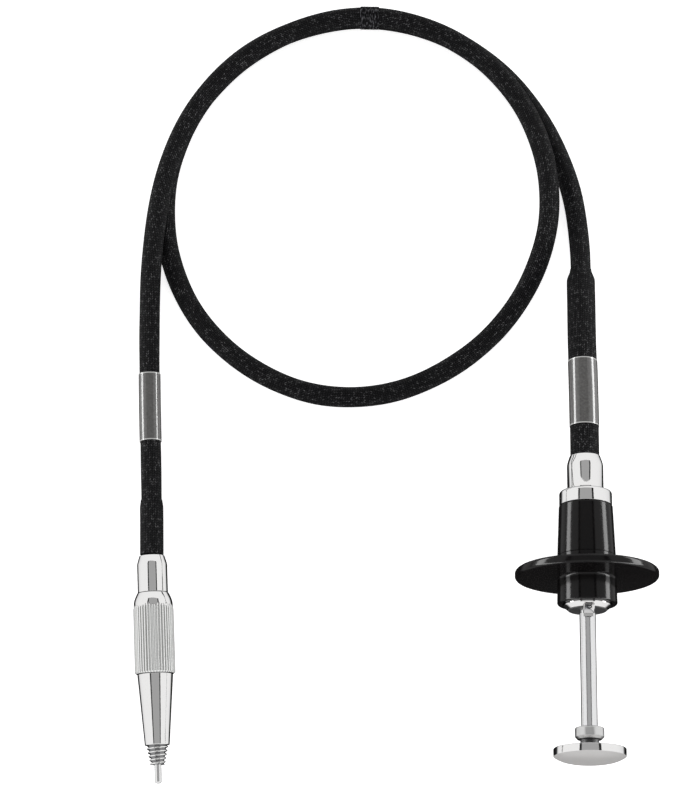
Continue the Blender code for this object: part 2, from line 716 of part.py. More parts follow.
def knurl_cutter(axis):
    """A ring whose inside is a star: each of its points is left standing as a rib."""
    star = []
    for i in range(2 * KNURL_GROOVES):
        radius = KNURL_R + KNURL_DEPTH if i % 2 else KNURL_R - KNURL_DEPTH
        angle = math.pi * i / KNURL_GROOVES
        star.append(Vector((radius * math.cos(angle), radius * math.sin(angle))))
    length = SLEEVE_FRONT - KNURL_BACK
    mesh = flat_mesh("knurl_grooves", [circle(KNURL_CUTTER_R, SEGMENTS), star], length)
    middle = KNURL_BACK + KNURL_RUN_OUT + length / 2
    mesh.transform(Matrix.Translation(Vector((0, 0, middle)) * MM))
    return add_cutter("knurl_grooves", mesh, axis)


def add_knurled_sleeve(axis):
    journal_bore = STEM_R + FIT
    corners = [
        (journal_bore, SLEEVE_BACK, 0),
        (SLEEVE_BACK_R, SLEEVE_BACK, 0.15),
        (SLEEVE_SHOULDER_R, SLEEVE_BACK + TIP_SHOULDER_LENGTH, 4.0),
        (SLEEVE_SHOULDER_R, KNURL_BACK, 0),
        (KNURL_R, KNURL_BACK + KNURL_CHAMFER, 0),
        (KNURL_R, SLEEVE_FRONT - KNURL_CHAMFER, 0),
        (KNURL_R - KNURL_CHAMFER, SLEEVE_FRONT, 0),
        (SLEEVE_BORE_R, SLEEVE_FRONT, 0),
        (SLEEVE_BORE_R, CHAMBER_BACK, 0),
        (journal_bore, CHAMBER_BACK, 0),
    ]
    cut(turned("knurled_sleeve", corners, "chrome", axis, KNURL_GROOVES), knurl_cutter(axis))


def add_cone_nose(axis):
    front_bore = NIPPLE_SPIGOT_R + FIT
    spigot_r = SLEEVE_BORE_R - FIT
    corners = [
        (NOSE_BORE_R, NOSE_SPIGOT_BACK, 0),
        (spigot_r, NOSE_SPIGOT_BACK, 0.2),
        (spigot_r, NOSE_BACK, 0),
        (NOSE_BACK_R, NOSE_BACK, 0.15),
        (NOSE_FRONT_R, NOSE_FRONT, 0.2),
        (front_bore, NOSE_FRONT, 0),
        (front_bore, NIPPLE_SPIGOT_BACK - FIT, 0),
        (NOSE_BORE_R, NIPPLE_SPIGOT_BACK - FIT, 0),
    ]
    turned("cone_nose", corners, "chrome", axis)


def add_threaded_nipple(axis):
    corners = [
        (NIPPLE_BORE_R, NIPPLE_SPIGOT_BACK, 0),
        (NIPPLE_SPIGOT_R, NIPPLE_SPIGOT_BACK, 0),
        (NIPPLE_SPIGOT_R, NIPPLE_BACK, 0),
    ]
    taper = (NIPPLE_FRONT_R - NIPPLE_BACK_R) / (NIPPLE_FRONT - NIPPLE_BACK)
    for turn in range(THREAD_TURNS):
        start = NIPPLE_BACK + turn * THREAD_PITCH
        crest = NIPPLE_BACK_R + taper * turn * THREAD_PITCH
        corners += [
            (crest - THREAD_DEPTH, start, 0),
            (crest, start + CREST_START * THREAD_PITCH, 0),
            (crest, start + CREST_END * THREAD_PITCH, 0),
        ]
    corners += [(NIPPLE_FRONT_R - THREAD_DEPTH / 2, NIPPLE_FRONT, 0), (NIPPLE_BORE_R, NIPPLE_FRONT, 0)]
    turned("threaded_nipple", corners, "chrome", axis, SMALL_SEGMENTS)


def add_release_pin(axis):
    corners = [
        (0, PIN_FRONT, 0),
        (PIN_R, PIN_FRONT, 0.5),
        (PIN_R, PIN_BACK + FIT, 0),
        (0, PIN_BACK + FIT, 0),
    ]
    turned("release_pin", corners, "steel", axis, INNER_SEGMENTS)


def add_pin_crimp(axis):
    """The head that joins the inner wire to the pin."""
    bore = WIRE_R + FIT / 2
    corners = [
        (0, PIN_BACK, 0),
        (CRIMP_R, PIN_BACK, 0.15),
        (CRIMP_R, CRIMP_BACK, 0),
        (bore, CRIMP_BACK, 0),
        (bore, CRIMP_STOP, 0),
        (0, CRIMP_STOP, 0),
    ]
    turned("pin_crimp", corners, "brass", axis, INNER_SEGMENTS)


# Cable pieces


def add_sleeve(name, route, start, end, bore, radius, material):
    """A sleeve round the cable between two distances along it."""
    points = stretch(route, start, end, SLEEVE_SPACING)
    add_piece(name, tube_mesh(name, points, radius, SLEEVE_SIDES, wall=radius - bore), material)


def add_cable(route):
    length = route[1][-1]
    points = stretch(route, 0, length, CABLE_SPACING)
    add_piece("cable_main", tube_mesh("cable_main", points, CABLE_R, CABLE_SIDES), "black_braid")
    on_cable = CABLE_R + FIT
    on_strain_sleeve = STRAIN_SLEEVE_R + FIT
    add_sleeve("strain_sleeve", route, 0, STRAIN_SLEEVE_END, on_cable, STRAIN_SLEEVE_R, "black_braid")
    add_sleeve("tip_end_sleeve", route, length - TIP_SLEEVE_LENGTH, length, on_cable, TIP_SLEEVE_R, "black_braid")
    start, end = HANDLE_LABEL
    label_r = on_strain_sleeve + LABEL_WALL
    add_sleeve("handle_label_band", route, start, end, on_strain_sleeve, label_r, "grey_label")
    start, end = (length - from_tip for from_tip in TIP_LABEL_FROM_TIP)
    add_sleeve("tip_label_band", route, start, end, on_cable, on_cable + LABEL_WALL, "grey_label")


def add_loop_tie(route):
    """A flat ring round both strands where they lie one above the other."""
    lower = point_at(route, TIE_ON_LOWER)
    upper = point_at(route, TIE_ON_UPPER)
    along = (point_at(route, TIE_ON_LOWER + 1) - lower).normalized()
    up = (upper - lower).normalized()
    side = up.cross(along).normalized()
    up = along.cross(side)
    half = (upper - lower).dot(up) / 2
    slant = (upper - lower).dot(side) / 2
    ends = Vector((-slant, -half)), Vector((slant, half))
    inner_r = CABLE_R + 2 * FIT
    outlines = [capsule(*ends, inner_r + TIE_WALL), capsule(*ends, inner_r)]
    mesh = flat_mesh("loop_tie", outlines, TIE_WIDTH)
    turn = Matrix((side, up, along)).transposed().to_4x4()
    mesh.transform(Matrix.Translation((lower + upper) * MM / 2) @ turn)
    add_piece("loop_tie", mesh, "black_thread")


def add_handle(axis):
    ball_holes = ball_hole_cutter(axis)
    add_handle_ferrule(axis)
    add_sheath_anchor(axis)
    add_casing_end("handle_casing_end", axis, ANCHOR_BACK, ANCHOR_STOP - FIT)
    add_barrel_end_ring(axis)
    add_barrel(axis)
    add_guide_tube(axis, ball_holes)
    add_guide_bush(axis, ball_holes)
    add_rod_clip(axis)
    add_clip_rivet(axis)
    add_lock_balls(axis)
    add_lock_disc(axis)
    add_disc_friction_ring(axis)


def add_plunger(axis):
    pin_hole = collar_pin_cutter(axis)
    add_plunger_rod(axis, pin_hole)
    add_spring_collar(axis, pin_hole)
    add_collar_pin(axis)
    add_wire_anchor(axis)
    add_button_collar(axis)
    add_button_washer(axis)
    add_thumb_button(axis)
    add_return_spring(axis)
    add_wire("handle_wire", axis, ANCHOR_FRONT, WIRE_ANCHOR_STOP - FIT)


def add_tip(axis):
    add_tip_ferrule(axis)
    add_casing_end("tip_casing_end", axis, TIP_CASING_BACK, TIP_CASING_FRONT)
    add_swivel_stem(axis)
    add_swivel_washer(axis)
    add_knurled_sleeve(axis)
    add_cone_nose(axis)
    add_threaded_nipple(axis)
    add_release_pin(axis)
    add_pin_crimp(axis)
    add_wire("tip_wire", axis, TIP_CASING_FRONT + FIT, CRIMP_STOP - FIT)


def main():
    clear_scene()
    add_collection("cable_release")
    add_collection("cutters")
    add_materials()
    towards_button = Vector((
        math.sin(HANDLE_YAW),
        -math.cos(HANDLE_TILT) * math.cos(HANDLE_YAW),
        math.sin(HANDLE_TILT),
    ))
    towards_pin = Vector((math.sin(TIP_YAW), -math.cos(TIP_YAW), 0))
    handle_axis = add_axis("handle_axis", HANDLE_ORIGIN, towards_button)
    tip_axis = add_axis("tip_axis", TIP_ORIGIN, towards_pin)
    add_handle(handle_axis)
    add_plunger(handle_axis)
    add_tip(tip_axis)
    route = smooth_route()
    add_cable(route)
    add_loop_tie(route)


main()
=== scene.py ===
"""Looks of the cable shutter release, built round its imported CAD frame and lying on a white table.

Numbers are millimetres until a mesh is built. Pieces of the handle and of the tip are turned about their own
axes: `s` is the distance along such an axis, towards the thumb button or the pin, and `r` the distance
from it.
"""

import json
import math

import bmesh
import bpy
from mathutils import Matrix, Vector


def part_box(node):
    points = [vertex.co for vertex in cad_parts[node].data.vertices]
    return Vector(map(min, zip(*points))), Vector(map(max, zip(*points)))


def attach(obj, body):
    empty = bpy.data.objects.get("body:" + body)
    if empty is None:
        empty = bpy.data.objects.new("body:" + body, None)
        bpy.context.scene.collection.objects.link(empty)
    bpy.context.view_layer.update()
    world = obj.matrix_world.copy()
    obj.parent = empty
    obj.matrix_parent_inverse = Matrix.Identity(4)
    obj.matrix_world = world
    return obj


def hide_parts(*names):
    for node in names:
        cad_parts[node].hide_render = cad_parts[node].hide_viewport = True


MM = 0.001

# Camera
LOOK_AT = Vector((-8.66, 44.4, 0.0))
CAMERA_DISTANCE = 544.0
CAMERA_ELEVATION = math.radians(78)
SENSOR_WIDTH = 36.0
LENS = 139.06

# Light
WORLD_BRIGHTNESS, UNDERSIDE_BRIGHTNESS = 1.0, 0.03
WHITE_ABOVE, DARK_BELOW = -0.55, -0.7  # heights of a unit direction
TABLE_GLOW = 0.65
PANEL_HEIGHT, PANEL_HALF_WIDTH, PANEL_HALF_LENGTH = 600.0, 300.0, 480.0
PANEL_BRIGHTNESS = 0.42
PANEL_EDGE_WIDTH, PANEL_EDGE_BRIGHTNESS = 110.0, 0.02
STRIP_DISTANCE, STRIP_HEIGHT, STRIP_LENGTH, STRIP_WATTS = 700.0, 230.0, 2600.0, 24.0
STRIP_LIFT, STRIP_MIDDLE = 110.0, -650.0
TABLE_SIZE, TABLE_LOWERED = 4000.0, 0.05  # just under the pieces that lie on it

# Gaps between pieces
FIT, CLOSE_FIT, PRESS_FIT = 0.1, 0.05, 0.02
MOUTH_FIT = 0.03  # of a braided sleeve in its ferrule
POCKET_FIT, BUSH_FLANGE_FIT = 0.12, 0.04

# Stations along the handle
COLLAR_PIN_S = -0.8
FERRULE_BACK, FERRULE_FRONT = -23.8, -16.75
FERRULE_SHOULDER_LENGTH, FERRULE_FLARE_LENGTH, FERRULE_RIM_LENGTH = 1.6, 0.7, 0.3
MOUTH_DEPTH = 0.5  # of both ferrules
END_RING_BACK, END_RING_FRONT = -16.65, -13.8
BARREL_BACK, BARREL_FRONT = -13.7, -3.66
COLLAR_BACK, HUB_FRONT = -3.6, 5.95
HUB_POCKET_BACK = 2.9
BALL_CONE_BACK, BALL_CONE_RUN_OUT = -0.6, -1.6
RING_GROOVE_BACK, RING_GROOVE_FRONT = -3.1, -2.3
TUBE_BACK = -21.9
TUBE_HEAD_BACK, TUBE_HEAD_FLOOR, TUBE_HEAD_EDGE, TUBE_HEAD_FRONT = 5.0, 5.4, 6.3, 7.0
BUSH_BACK, BUSH_FLANGE_BACK, BUSH_FRONT = 0.2, 5.5, 7.15
ROD_BACK, ROD_SOCKET_FRONT, ROD_FRONT = -6.5, -2.0, 34.0
BUTTON_COLLAR_BACK, BUTTON_COLLAR_FRONT, BUTTON_COLLAR_BEVEL = 29.9, 32.2, 0.5
BUTTON_BACK, BUTTON_EDGE, BUTTON_DOME = 33.96, 35.45, 1.2
BUTTON_FLATNESS, BUTTON_FACE_STEPS = 4, 12  # power of the dome's curve, and points along it

# Stations along the tip
TIP_FERRULE_BACK, TIP_SHOULDER_LENGTH = -7.3, 1.6
STEM_SEAT_BACK = -3.1
SLEEVE_BACK, CHAMBER_BACK, SLEEVE_FRONT = 0.1, 4.0, 16.0
KNURL_BACK, KNURL_RUN_OUT, KNURL_CHAMFER_LENGTH = 2.9, 0.35, 0.25
NOSE_SPIGOT_BACK, NOSE_BACK, NOSE_FRONT = 12.0, 16.1, 29.95
NIPPLE_SEAT_BACK, NIPPLE_SPIGOT_BACK = 28.2, 28.3
NIPPLE_BACK, NIPPLE_FRONT = 30.0, 33.7
PIN_BACK, PIN_FRONT = 15.1, 37.35

# Radii along the handle
FERRULE_R, FERRULE_FLARE_R, FERRULE_BORE_R, FERRULE_LIP = 3.55, 3.7, 1.6, 0.16
BORE_R, TUBE_R, TUBE_BORE_R, TUBE_HEAD_R, TUBE_HEAD_MOUTH_R = 3.05, 3.0, 2.65, 4.65, 3.8
END_RING_R = 5.15
BARREL_BACK_R, BARREL_FRONT_R, COLLAR_R, HUB_R = 5.25, 5.66, 5.7, 5.82
DISC_R, DISC_THICKNESS, DISC_ROUNDING, ROOT_FILLET = 13.95, 1.7, 0.6, 0.5
DISC_BORE_R, RING_GROOVE_R = 3.1, 3.75
BALL_CONE_BACK_R, BALL_CONE_FRONT_R = 3.27, 3.55
ROD_R, ROD_SOCKET_R = 1.57, 0.85
BUTTON_COLLAR_R, BUTTON_COLLAR_FRONT_R, WASHER_R, BUTTON_R = 2.8, 2.35, 1.8, 6.95

# Clip on the rod: height over the axis and station of its leaf, and its section in shares of its half sizes
CLIP_PATH = ((4.45, 6.8), (3.4, 7.485), (3.1, 7.64), (2.3, 7.88), (1.95, 8.0), (1.84, 8.2), (1.82, 8.6))
CLIP_WIDTH, CLIP_THICKNESS = 2.1, 0.22
CLIP_RIVET_R, CLIP_RIVET_BORE_R, CLIP_RIVET_HEIGHT = 0.52, 0.3, 0.2
CLIP_SECTION = ((-1, 0), (-0.9, 0.8), (-0.7, 1), (0.7, 1), (0.9, 0.8), (1, 0), (0.9, -0.8), (-0.9, -0.8))

# Radii along the tip
TIP_FERRULE_R, TIP_FERRULE_LIP, CASING_SEAT_R, STEM_SEAT_R = 2.97, 0.15, 1.25, 2.0
SLEEVE_BACK_R, SLEEVE_SHOULDER_R, CHAMBER_R = 3.1, 3.85, 2.9
SHOULDER_ROUNDING, TIP_FERRULE_ROUNDING = 4.0, 2.0
KNURL_R, KNURL_DEPTH, KNURL_GROOVES, KNURL_CHAMFER = 3.95, 0.13, 40, 0.2
KNURL_SHARPNESS, KNURL_FACETS = 1.2, 8  # power of a groove's curve, and faces across a groove
NOSE_BACK_R, NOSE_FRONT_R, NOSE_BORE_R, NOSE_SPIGOT_R = 3.5, 2.42, 1.15, 2.8
THREAD_BACK_R, THREAD_FRONT_R, THREAD_PITCH, THREAD_DEPTH = 2.15, 1.45, 0.73, 0.36
THREAD_CREST, THREAD_FLANK = 0.1, 0.32  # half a crest, and a flank, in shares of the pitch
THREAD_FADE, THREAD_STEPS, THREAD_SEGMENTS = 0.2, 70, 72
NIPPLE_SEAT_R, NIPPLE_SPIGOT_R, NIPPLE_BORE_R = 1.4, 1.3, 0.78
PIN_R, PIN_ROUNDING = 0.68, 0.5

# Cable
CABLE_D = 4.1
CABLE_SPACING, CABLE_SIDES = 0.9, 32
RIPPLE, RIPPLE_RATES = 0.03, (0.35, 0.11)  # the braid's slight unevenness along the cable
SLEEVE_START, SLEEVE_END, SLEEVE_R, SLEEVE_TAIL = -0.25, 39.9, 2.84, 2.6
TIP_SLEEVE_LENGTH, TIP_SLEEVE_R, TIP_SLEEVE_LEAD = 11.0, 2.33, 1.6
ON_CABLE_R = CABLE_D / 2 + 0.04
BAND_SPACING, BAND_SIDES, THINNEST_BAND = 0.45, 48, 0.06
HANDLE_LABEL = (5.9, 19.5)
TIP_LABEL_FROM_TIP = (37.0, 23.0)
LABEL_GAP, HANDLE_LABEL_R, TIP_LABEL_R = 0.01, SLEEVE_R + 0.09, ON_CABLE_R + 0.12
# the width of the pale highlight painted at each end of a label
LABEL_EDGE = 0.2
TIE_ON_LOWER, TIE_ON_UPPER, TIE_WIDTH, TIE_WRAPS = 117.0, 364.0, 3.8, 12
TIE_BACK, TIE_WALL, TIE_BULGE = 0.05, 0.08, 0.08
TIE_ARC_STEPS, TIE_STEPS_PER_WRAP = 24, 6
STITCH_LENGTH, STITCH_WIDTH = 0.5, 0.36
ROUTE = (
    (37.53, 31.71, 11.63), (37.60, 38.4, 10.98), (37.63, 46.1, 10.14), (37.65, 56.0, 8.4), (37.85, 65.9, 6.2),
    (37.9, 76.9, 3.9), (36.4, 88.7, 2.5), (31.4, 101.8, 2.1), (23.2, 113.0, 2.1), (10.4, 122.0, 2.1),
    (-4.0, 125.3, 2.6), (-18.9, 123.2, 2.1), (-31.9, 115.9, 2.1), (-41.2, 104.2, 2.1), (-45.9, 90.0, 2.1),
    (-45.2, 75.2, 2.1), (-39.2, 61.7, 2.1), (-28.1, 51.3, 2.1), (-15.0, 46.0, 2.1), (-1.3, 46.2, 2.1),
    (11.4, 51.4, 2.12), (22.1, 60.5, 2.2), (28.5, 70.6, 3.05), (31.7, 81.9, 4.6), (31.2, 92.8, 5.9),
    (27.2, 104.2, 6.4), (19.2, 114.5, 6.4), (8.3, 121.4, 6.5), (-4.2, 124.1, 6.95), (-17.9, 122.0, 6.5),
    (-30.3, 115.3, 6.4), (-39.7, 105.1, 6.4), (-45.3, 92.6, 6.5), (-47.6, 81.9, 6.2), (-48.7, 71.9, 4.4),
    (-49.0, 60.9, 2.6), (-48.78, 46.9, 2.35), (-48.2, 31.0, 3.15), (-47.86, 20.1, 3.78),
    (-47.73, 13.213, 3.95),
)

# Painted shade: the colours of the knurl's and the thread's grooves, darker than their ridges and crests
KNURL_GROOVE_SHADE, THREAD_GROOVE_SHADE = (0.52, 0.53, 0.52), (0.36, 0.36, 0.365)
EDGE_TINT = (0.3, 0.31, 0.33, 1)  # polished metal darkens where it turns away
BRAID_GLOSS = {"Specular IOR Level": 0.02, "Sheen Weight": 0.004, "Sheen Roughness": 0.4}
LABEL_GLOSS = {"Specular IOR Level": 0.2, "Coat Weight": 1.0, "Coat Roughness": 0.08}
PLASTIC_GLOSS = (0.22, 0.04)  # faced squarely, and turned away
METALS = (
    "chrome", "knurled_chrome", "threaded_chrome", "drawn_steel", "satin_steel", "turned_steel", "pin_steel",
    "brushed_steel", "turned_brass", "blued_steel",
)
SMALL_SEGMENTS, PIN_SEGMENTS, SMOOTH, FINE = 40, 48, 96, 160
FILLET_STEPS = 6
WELD = 1e-8
SHARP_ANGLE = math.radians(32)


# Materials


class Shader:
    """A new material, with short calls that add its nodes."""

    def __init__(self, name, colour, roughness, metallic=0.0, sockets=()):
        self.material = bpy.data.materials.new(name)
        self.material.use_nodes = True
        self.tree = self.material.node_tree
        self.principled = self.tree.nodes["Principled BSDF"]
        self.set("Base Color", (*colour, 1))
        self.set("Roughness", roughness)
        self.set("Metallic", metallic)
        for socket, value in dict(sockets).items():
            self.set(socket, value)

    def set(self, socket, value):
        self.principled.inputs[socket].default_value = value

    def node(self, kind, settings=None, **inputs):
        """Adds a node. An input that is a socket is linked, and any other is set as a value."""
        node = self.tree.nodes.new(f"ShaderNode{kind}")
        for key, value in (settings or {}).items():
            setattr(node, key, value)
        for key, value in inputs.items():
            numbered = key[0] == "i" and key[1:].isdigit()
            socket = node.inputs[int(key[1:]) if numbered else key]
            if isinstance(value, bpy.types.NodeSocket):
                self.tree.links.new(value, socket)
            else:
                socket.default_value = value
        return node

    def math(self, operation, first, second=0.0):
        return self.node("Math", {"operation": operation}, i0=first, i1=second).outputs[0]

    def object_point(self, scale=(1.0, 1.0, 1.0)):
        """The point in the piece's own axes, stretched."""
        point = self.node("TexCoord").outputs["Object"]
        return self.node("Mapping", Vector=point, Scale=scale).outputs[0]

    def turn_about_axis(self):
        """The angle about the piece's own axis, in turns."""
        point = self.node("SeparateXYZ", Vector=self.object_point())
        angle = self.math("ARCTAN2", point.outputs["Y"], point.outputs["X"])
        return self.math("DIVIDE", angle, math.tau)

    def noise(self, scale, detail=4.0, stretch=(1.0, 1.0, 1.0)):
        vector = self.object_point(stretch)
        return self.node("TexNoise", Vector=vector, Scale=scale, Detail=detail).outputs["Fac"]

    def between(self, value, low, high):
        """A value from 0 to 1 turned into one from low to high."""
        return self.node("MapRange", Value=value, **{"To Min": low, "To Max": high}).outputs["Result"]

    def blend(self, value, first, second):
        mix = self.node("Mix", {"data_type": "RGBA"}, i0=value, i6=(*first, 1), i7=(*second, 1))
        return mix.outputs[2]

    def drive(self, socket, value):
        self.tree.links.new(value, self.principled.inputs[socket])

    def bump(self, height, strength, distance):
        bump = self.node("Bump", Height=height, Strength=strength, Distance=distance)
        self.drive("Normal", bump.outputs["Normal"])


def chrome(name, roughness=0.05):
    """Polished plating with faint wipe marks."""
    shader = Shader(name, (0.82, 0.815, 0.81), roughness, 1.0, {"Specular Tint": EDGE_TINT})
    marks = shader.noise(900, stretch=(1, 1, 0.12))
    shader.drive("Roughness", shader.between(marks, roughness * 0.5, roughness * 1.7))
    shader.bump(shader.noise(5000, 2), 0.02, 0.0001)
    return shader.material


def drawn_steel(name):
    """Bright steel polished along its length."""
    shader = Shader(name, (0.78, 0.78, 0.785), 0.12, 1.0, {"Specular Tint": EDGE_TINT})
    streaks = shader.noise(2600, 3, stretch=(1, 1, 0.02))
    shader.drive("Roughness", shader.between(streaks, 0.07, 0.2))
    shader.bump(streaks, 0.04, 0.0001)
    return shader.material


def knurled_chrome(name):
    """Plating on a straight knurl, dulled in patches, with shade painted into the colour of its grooves and the
    ridges left bright.
    """
    shader = Shader(name, (0.6, 0.6, 0.6), 0.2, 1.0, {"Specular Tint": EDGE_TINT})
    turn = shader.turn_about_axis()
    ridge = shader.math("SINE", shader.math("MULTIPLY", turn, math.pi * KNURL_GROOVES))
    ridge = shader.math("ABSOLUTE", ridge)
    dull = shader.noise(1500, 4, stretch=(1, 1, 0.1))
    # Painted shade: the grooves are coloured darker than the ridges.
    shader.drive("Base Color", shader.blend(ridge, KNURL_GROOVE_SHADE, (0.88, 0.88, 0.87)))
    shader.drive("Roughness", shader.between(dull, 0.1, 0.25))
    return shader.material


def threaded_chrome(name):
    """Plating on a screw thread, its colour bright on the crests, with shade painted between them."""
    shader = Shader(name, (0.7, 0.7, 0.7), 0.12, 1.0, {"Specular Tint": EDGE_TINT})
    along = shader.node("SeparateXYZ", Vector=shader.object_point()).outputs["Z"]
    along = shader.math("DIVIDE", along, THREAD_PITCH * MM)
    phase = shader.math("FRACT", shader.math("SUBTRACT", along, shader.turn_about_axis()))
    groove = shader.math("ABSOLUTE", shader.math("SUBTRACT", phase, 0.5))
    flank = {"From Min": THREAD_CREST, "From Max": THREAD_CREST + THREAD_FLANK}
    groove = shader.node("MapRange", Value=groove, **flank).outputs["Result"]
    # Painted shade: the colour darkens from the crests into the grooves.
    shader.drive("Base Color", shader.blend(groove, (0.86, 0.86, 0.85), THREAD_GROOVE_SHADE))
    return shader.material


def satin_steel(name):
    """Blasted steel, pale and evenly matted, as on the button's face."""
    shader = Shader(name, (0.7, 0.695, 0.69), 0.5, 0.5)
    grain = shader.noise(9000, 3)
    shader.drive("Roughness", shader.between(grain, 0.42, 0.6))
    shader.drive("Base Color", shader.blend(shader.noise(260), (0.49, 0.48, 0.475), (0.56, 0.55, 0.545)))
    shader.bump(grain, 0.08, 0.0001)
    return shader.material


def turned_metal(name, colour, roughness):
    """Metal with the rings a lathe leaves round the axis."""
    shader = Shader(name, colour, roughness, 1.0)
    rings = shader.noise(6000, 2, stretch=(0.01, 0.01, 1))
    shader.drive("Roughness", shader.between(rings, roughness * 0.7, roughness * 1.4))
    shader.bump(rings, 0.1, 0.0001)
    return shader.material


def gloss_plastic(name):
    """Black moulded plastic with a slight orange peel and a film of dust, less glossy where it turns away."""
    shader = Shader(name, (0.006, 0.006, 0.0065), 0.16)
    dust = shader.noise(1800, 6)
    shader.drive("Roughness", shader.between(dust, 0.08, 0.2))
    shader.drive("Base Color", shader.blend(dust, (0.002, 0.002, 0.0025), (0.006, 0.005, 0.0048)))
    turned_away = shader.node("LayerWeight", Blend=0.5).outputs["Facing"]
    shader.drive("Specular IOR Level", shader.between(turned_away, *PLASTIC_GLOSS))
    shader.bump(shader.noise(700, 2), 0.06, 0.0002)
    return shader.material


def matt_plastic(name):
    shader = Shader(name, (0.014, 0.014, 0.015), 0.5)
    grain = shader.noise(4000, 5)
    shader.drive("Base Color", shader.blend(grain, (0.008, 0.008, 0.009), (0.03, 0.03, 0.03)))
    shader.bump(grain, 0.2, 0.0002)
    return shader.material


def braid(name, radius):
    """A tight tubular braid: rows of slanting stitches, the rows leaning left and right in turn, with glints
    painted on the stitch crowns.
    """
    shader = Shader(name, (0.012, 0.012, 0.013), 0.62, sockets=BRAID_GLOSS)
    rows = 2 * round(math.tau * radius / STITCH_WIDTH / 2)
    around = shader.node("UVMap", {"uv_map": "braid"})
    parts = shader.node("SeparateXYZ", Vector=around.outputs["UV"])
    across = shader.math("MULTIPLY", parts.outputs["X"], rows)
    row = shader.math("FLOOR", across)
    in_row = shader.math("FRACT", across)
    leaning = shader.math("MULTIPLY", shader.math("PINGPONG", row, 1.0), 2.0)
    leaning = shader.math("SUBTRACT", leaning, 1.0)
    lean = shader.math("MULTIPLY", leaning, shader.math("SUBTRACT", in_row, 0.5))
    along = shader.math("DIVIDE", parts.outputs["Y"], STITCH_LENGTH)
    along = shader.math("ADD", along, shader.math("MULTIPLY", lean, 0.9))
    in_stitch = shader.math("FRACT", along)
    round_row = shader.math("SINE", shader.math("MULTIPLY", in_row, math.pi))
    round_stitch = shader.math("SINE", shader.math("MULTIPLY", in_stitch, math.pi))
    height = shader.math("POWER", shader.math("MULTIPLY", round_row, round_stitch), 0.6)
    cell = shader.node("CombineXYZ", X=row, Y=shader.math("FLOOR", along))
    chance = shader.node("TexWhiteNoise", {"noise_dimensions": "2D"}, Vector=cell.outputs[0]).outputs["Value"]
    luck = shader.between(shader.math("POWER", chance, 5.0), 0.12, 0.8)
    # Painted glints: every stitch crown is coloured paler, some at random much paler, and made glossier with it.
    painted_glint = shader.math("MULTIPLY", shader.math("POWER", height, 3.0), luck)
    shader.drive("Base Color", shader.blend(painted_glint, (0.002, 0.002, 0.0024), (0.1, 0.1, 0.104)))
    shader.drive("Specular IOR Level", shader.between(painted_glint, 0.015, 0.6))
    shader.drive("Roughness", shader.between(chance, 0.35, 0.65))
    shader.bump(height, 0.8, 0.00012)
    return shader.material


def label(name, length):
    """A plain grey band under clear shrink sleeve, with a pale strip painted at both ends as the highlight on its
    edges.
    """
    shader = Shader(name, (0.07, 0.068, 0.066), 0.5, sockets=LABEL_GLOSS)
    mottle = shader.noise(2400, 5, stretch=(1, 1, 0.5))
    grey = shader.blend(mottle, (0.03, 0.029, 0.028), (0.115, 0.112, 0.109))
    around = shader.node("UVMap", {"uv_map": "braid"})
    along = shader.node("SeparateXYZ", Vector=around.outputs["UV"]).outputs["Y"]
    from_middle = shader.math("ABSOLUTE", shader.math("SUBTRACT", along, length / 2))
    # Painted highlight: the last LABEL_EDGE of the band at each end is coloured pale.
    painted_end_highlight = shader.math("GREATER_THAN", from_middle, length / 2 - LABEL_EDGE)
    mix = shader.node("Mix", {"data_type": "RGBA"}, i0=painted_end_highlight, i6=grey, i7=(0.45, 0.45, 0.44, 1))
    shader.drive("Base Color", mix.outputs[2])
    shader.bump(shader.noise(900, 2), 0.05, 0.0002)
    return shader.material


def wound_thread(name):
    """Black thread, with pale streaks painted across some of its wraps as their sheen."""
    shader = Shader(name, (0.01, 0.01, 0.011), 0.6, sockets=BRAID_GLOSS)
    around = shader.node("UVMap", {"uv_map": "braid"})
    parts = shader.node("SeparateXYZ", Vector=around.outputs["UV"])
    along = shader.math("MULTIPLY", parts.outputs["Y"], 3.0)
    fibre = shader.node("CombineXYZ", X=shader.math("MULTIPLY", parts.outputs["X"], 16.0), Y=along)
    streaks = shader.node("TexNoise", Vector=fibre.outputs[0], Scale=1.0, Detail=3.0).outputs["Fac"]
    streaks = shader.node("MapRange", Value=streaks, **{"From Min": 0.5, "From Max": 0.75}).outputs["Result"]
    # Painted sheen: pale streaks in the colour.
    shader.drive("Base Color", shader.blend(streaks, (0.004, 0.004, 0.0045), (0.13, 0.13, 0.14)))
    shader.bump(streaks, 0.4, 0.0001)
    return shader.material


def table_top(name):
    """A white light table, faintly lit from below."""
    shader = Shader(name, (0.95, 0.95, 0.95), 0.8)
    shader.drive("Base Color", shader.blend(shader.noise(3.0), (0.94, 0.94, 0.94), (0.96, 0.96, 0.96)))
    shader.set("Emission Color", (1, 1, 1, 1))
    shader.set("Emission Strength", TABLE_GLOW)
    return shader.material


def glow(name, colour):
    """A reflector card that glows evenly."""
    material = bpy.data.materials.new(name)
    material.use_nodes = True
    tree = material.node_tree
    tree.nodes.clear()
    emission = tree.nodes.new("ShaderNodeEmission")
    emission.inputs["Color"].default_value = (colour, colour, colour, 1)
    output = tree.nodes.new("ShaderNodeOutputMaterial")
    tree.links.new(emission.outputs[0], output.inputs["Surface"])
    return material


# Meshes


def rounded(corners):
    """The outline through corners (r, s, fillet radius), with each fillet drawn as an arc."""
    outline = []
    for i, (r, s, fillet) in enumerate(corners):
        corner = Vector((r, s))
        if not fillet:
            outline.append(corner)
            continue
        before = (Vector(corners[i - 1][:2]) - corner).normalized()
        after = (Vector(corners[(i + 1) % len(corners)][:2]) - corner).normalized()
        half = before.angle(after) / 2
        centre = corner + (before + after).normalized() * fillet / math.sin(half)
        start = corner + before * fillet / math.tan(half) - centre
        end = corner + after * fillet / math.tan(half) - centre
        for step in range(FILLET_STEPS + 1):
            outline.append(centre + start.lerp(end, step / FILLET_STEPS).normalized() * fillet)
    return outline


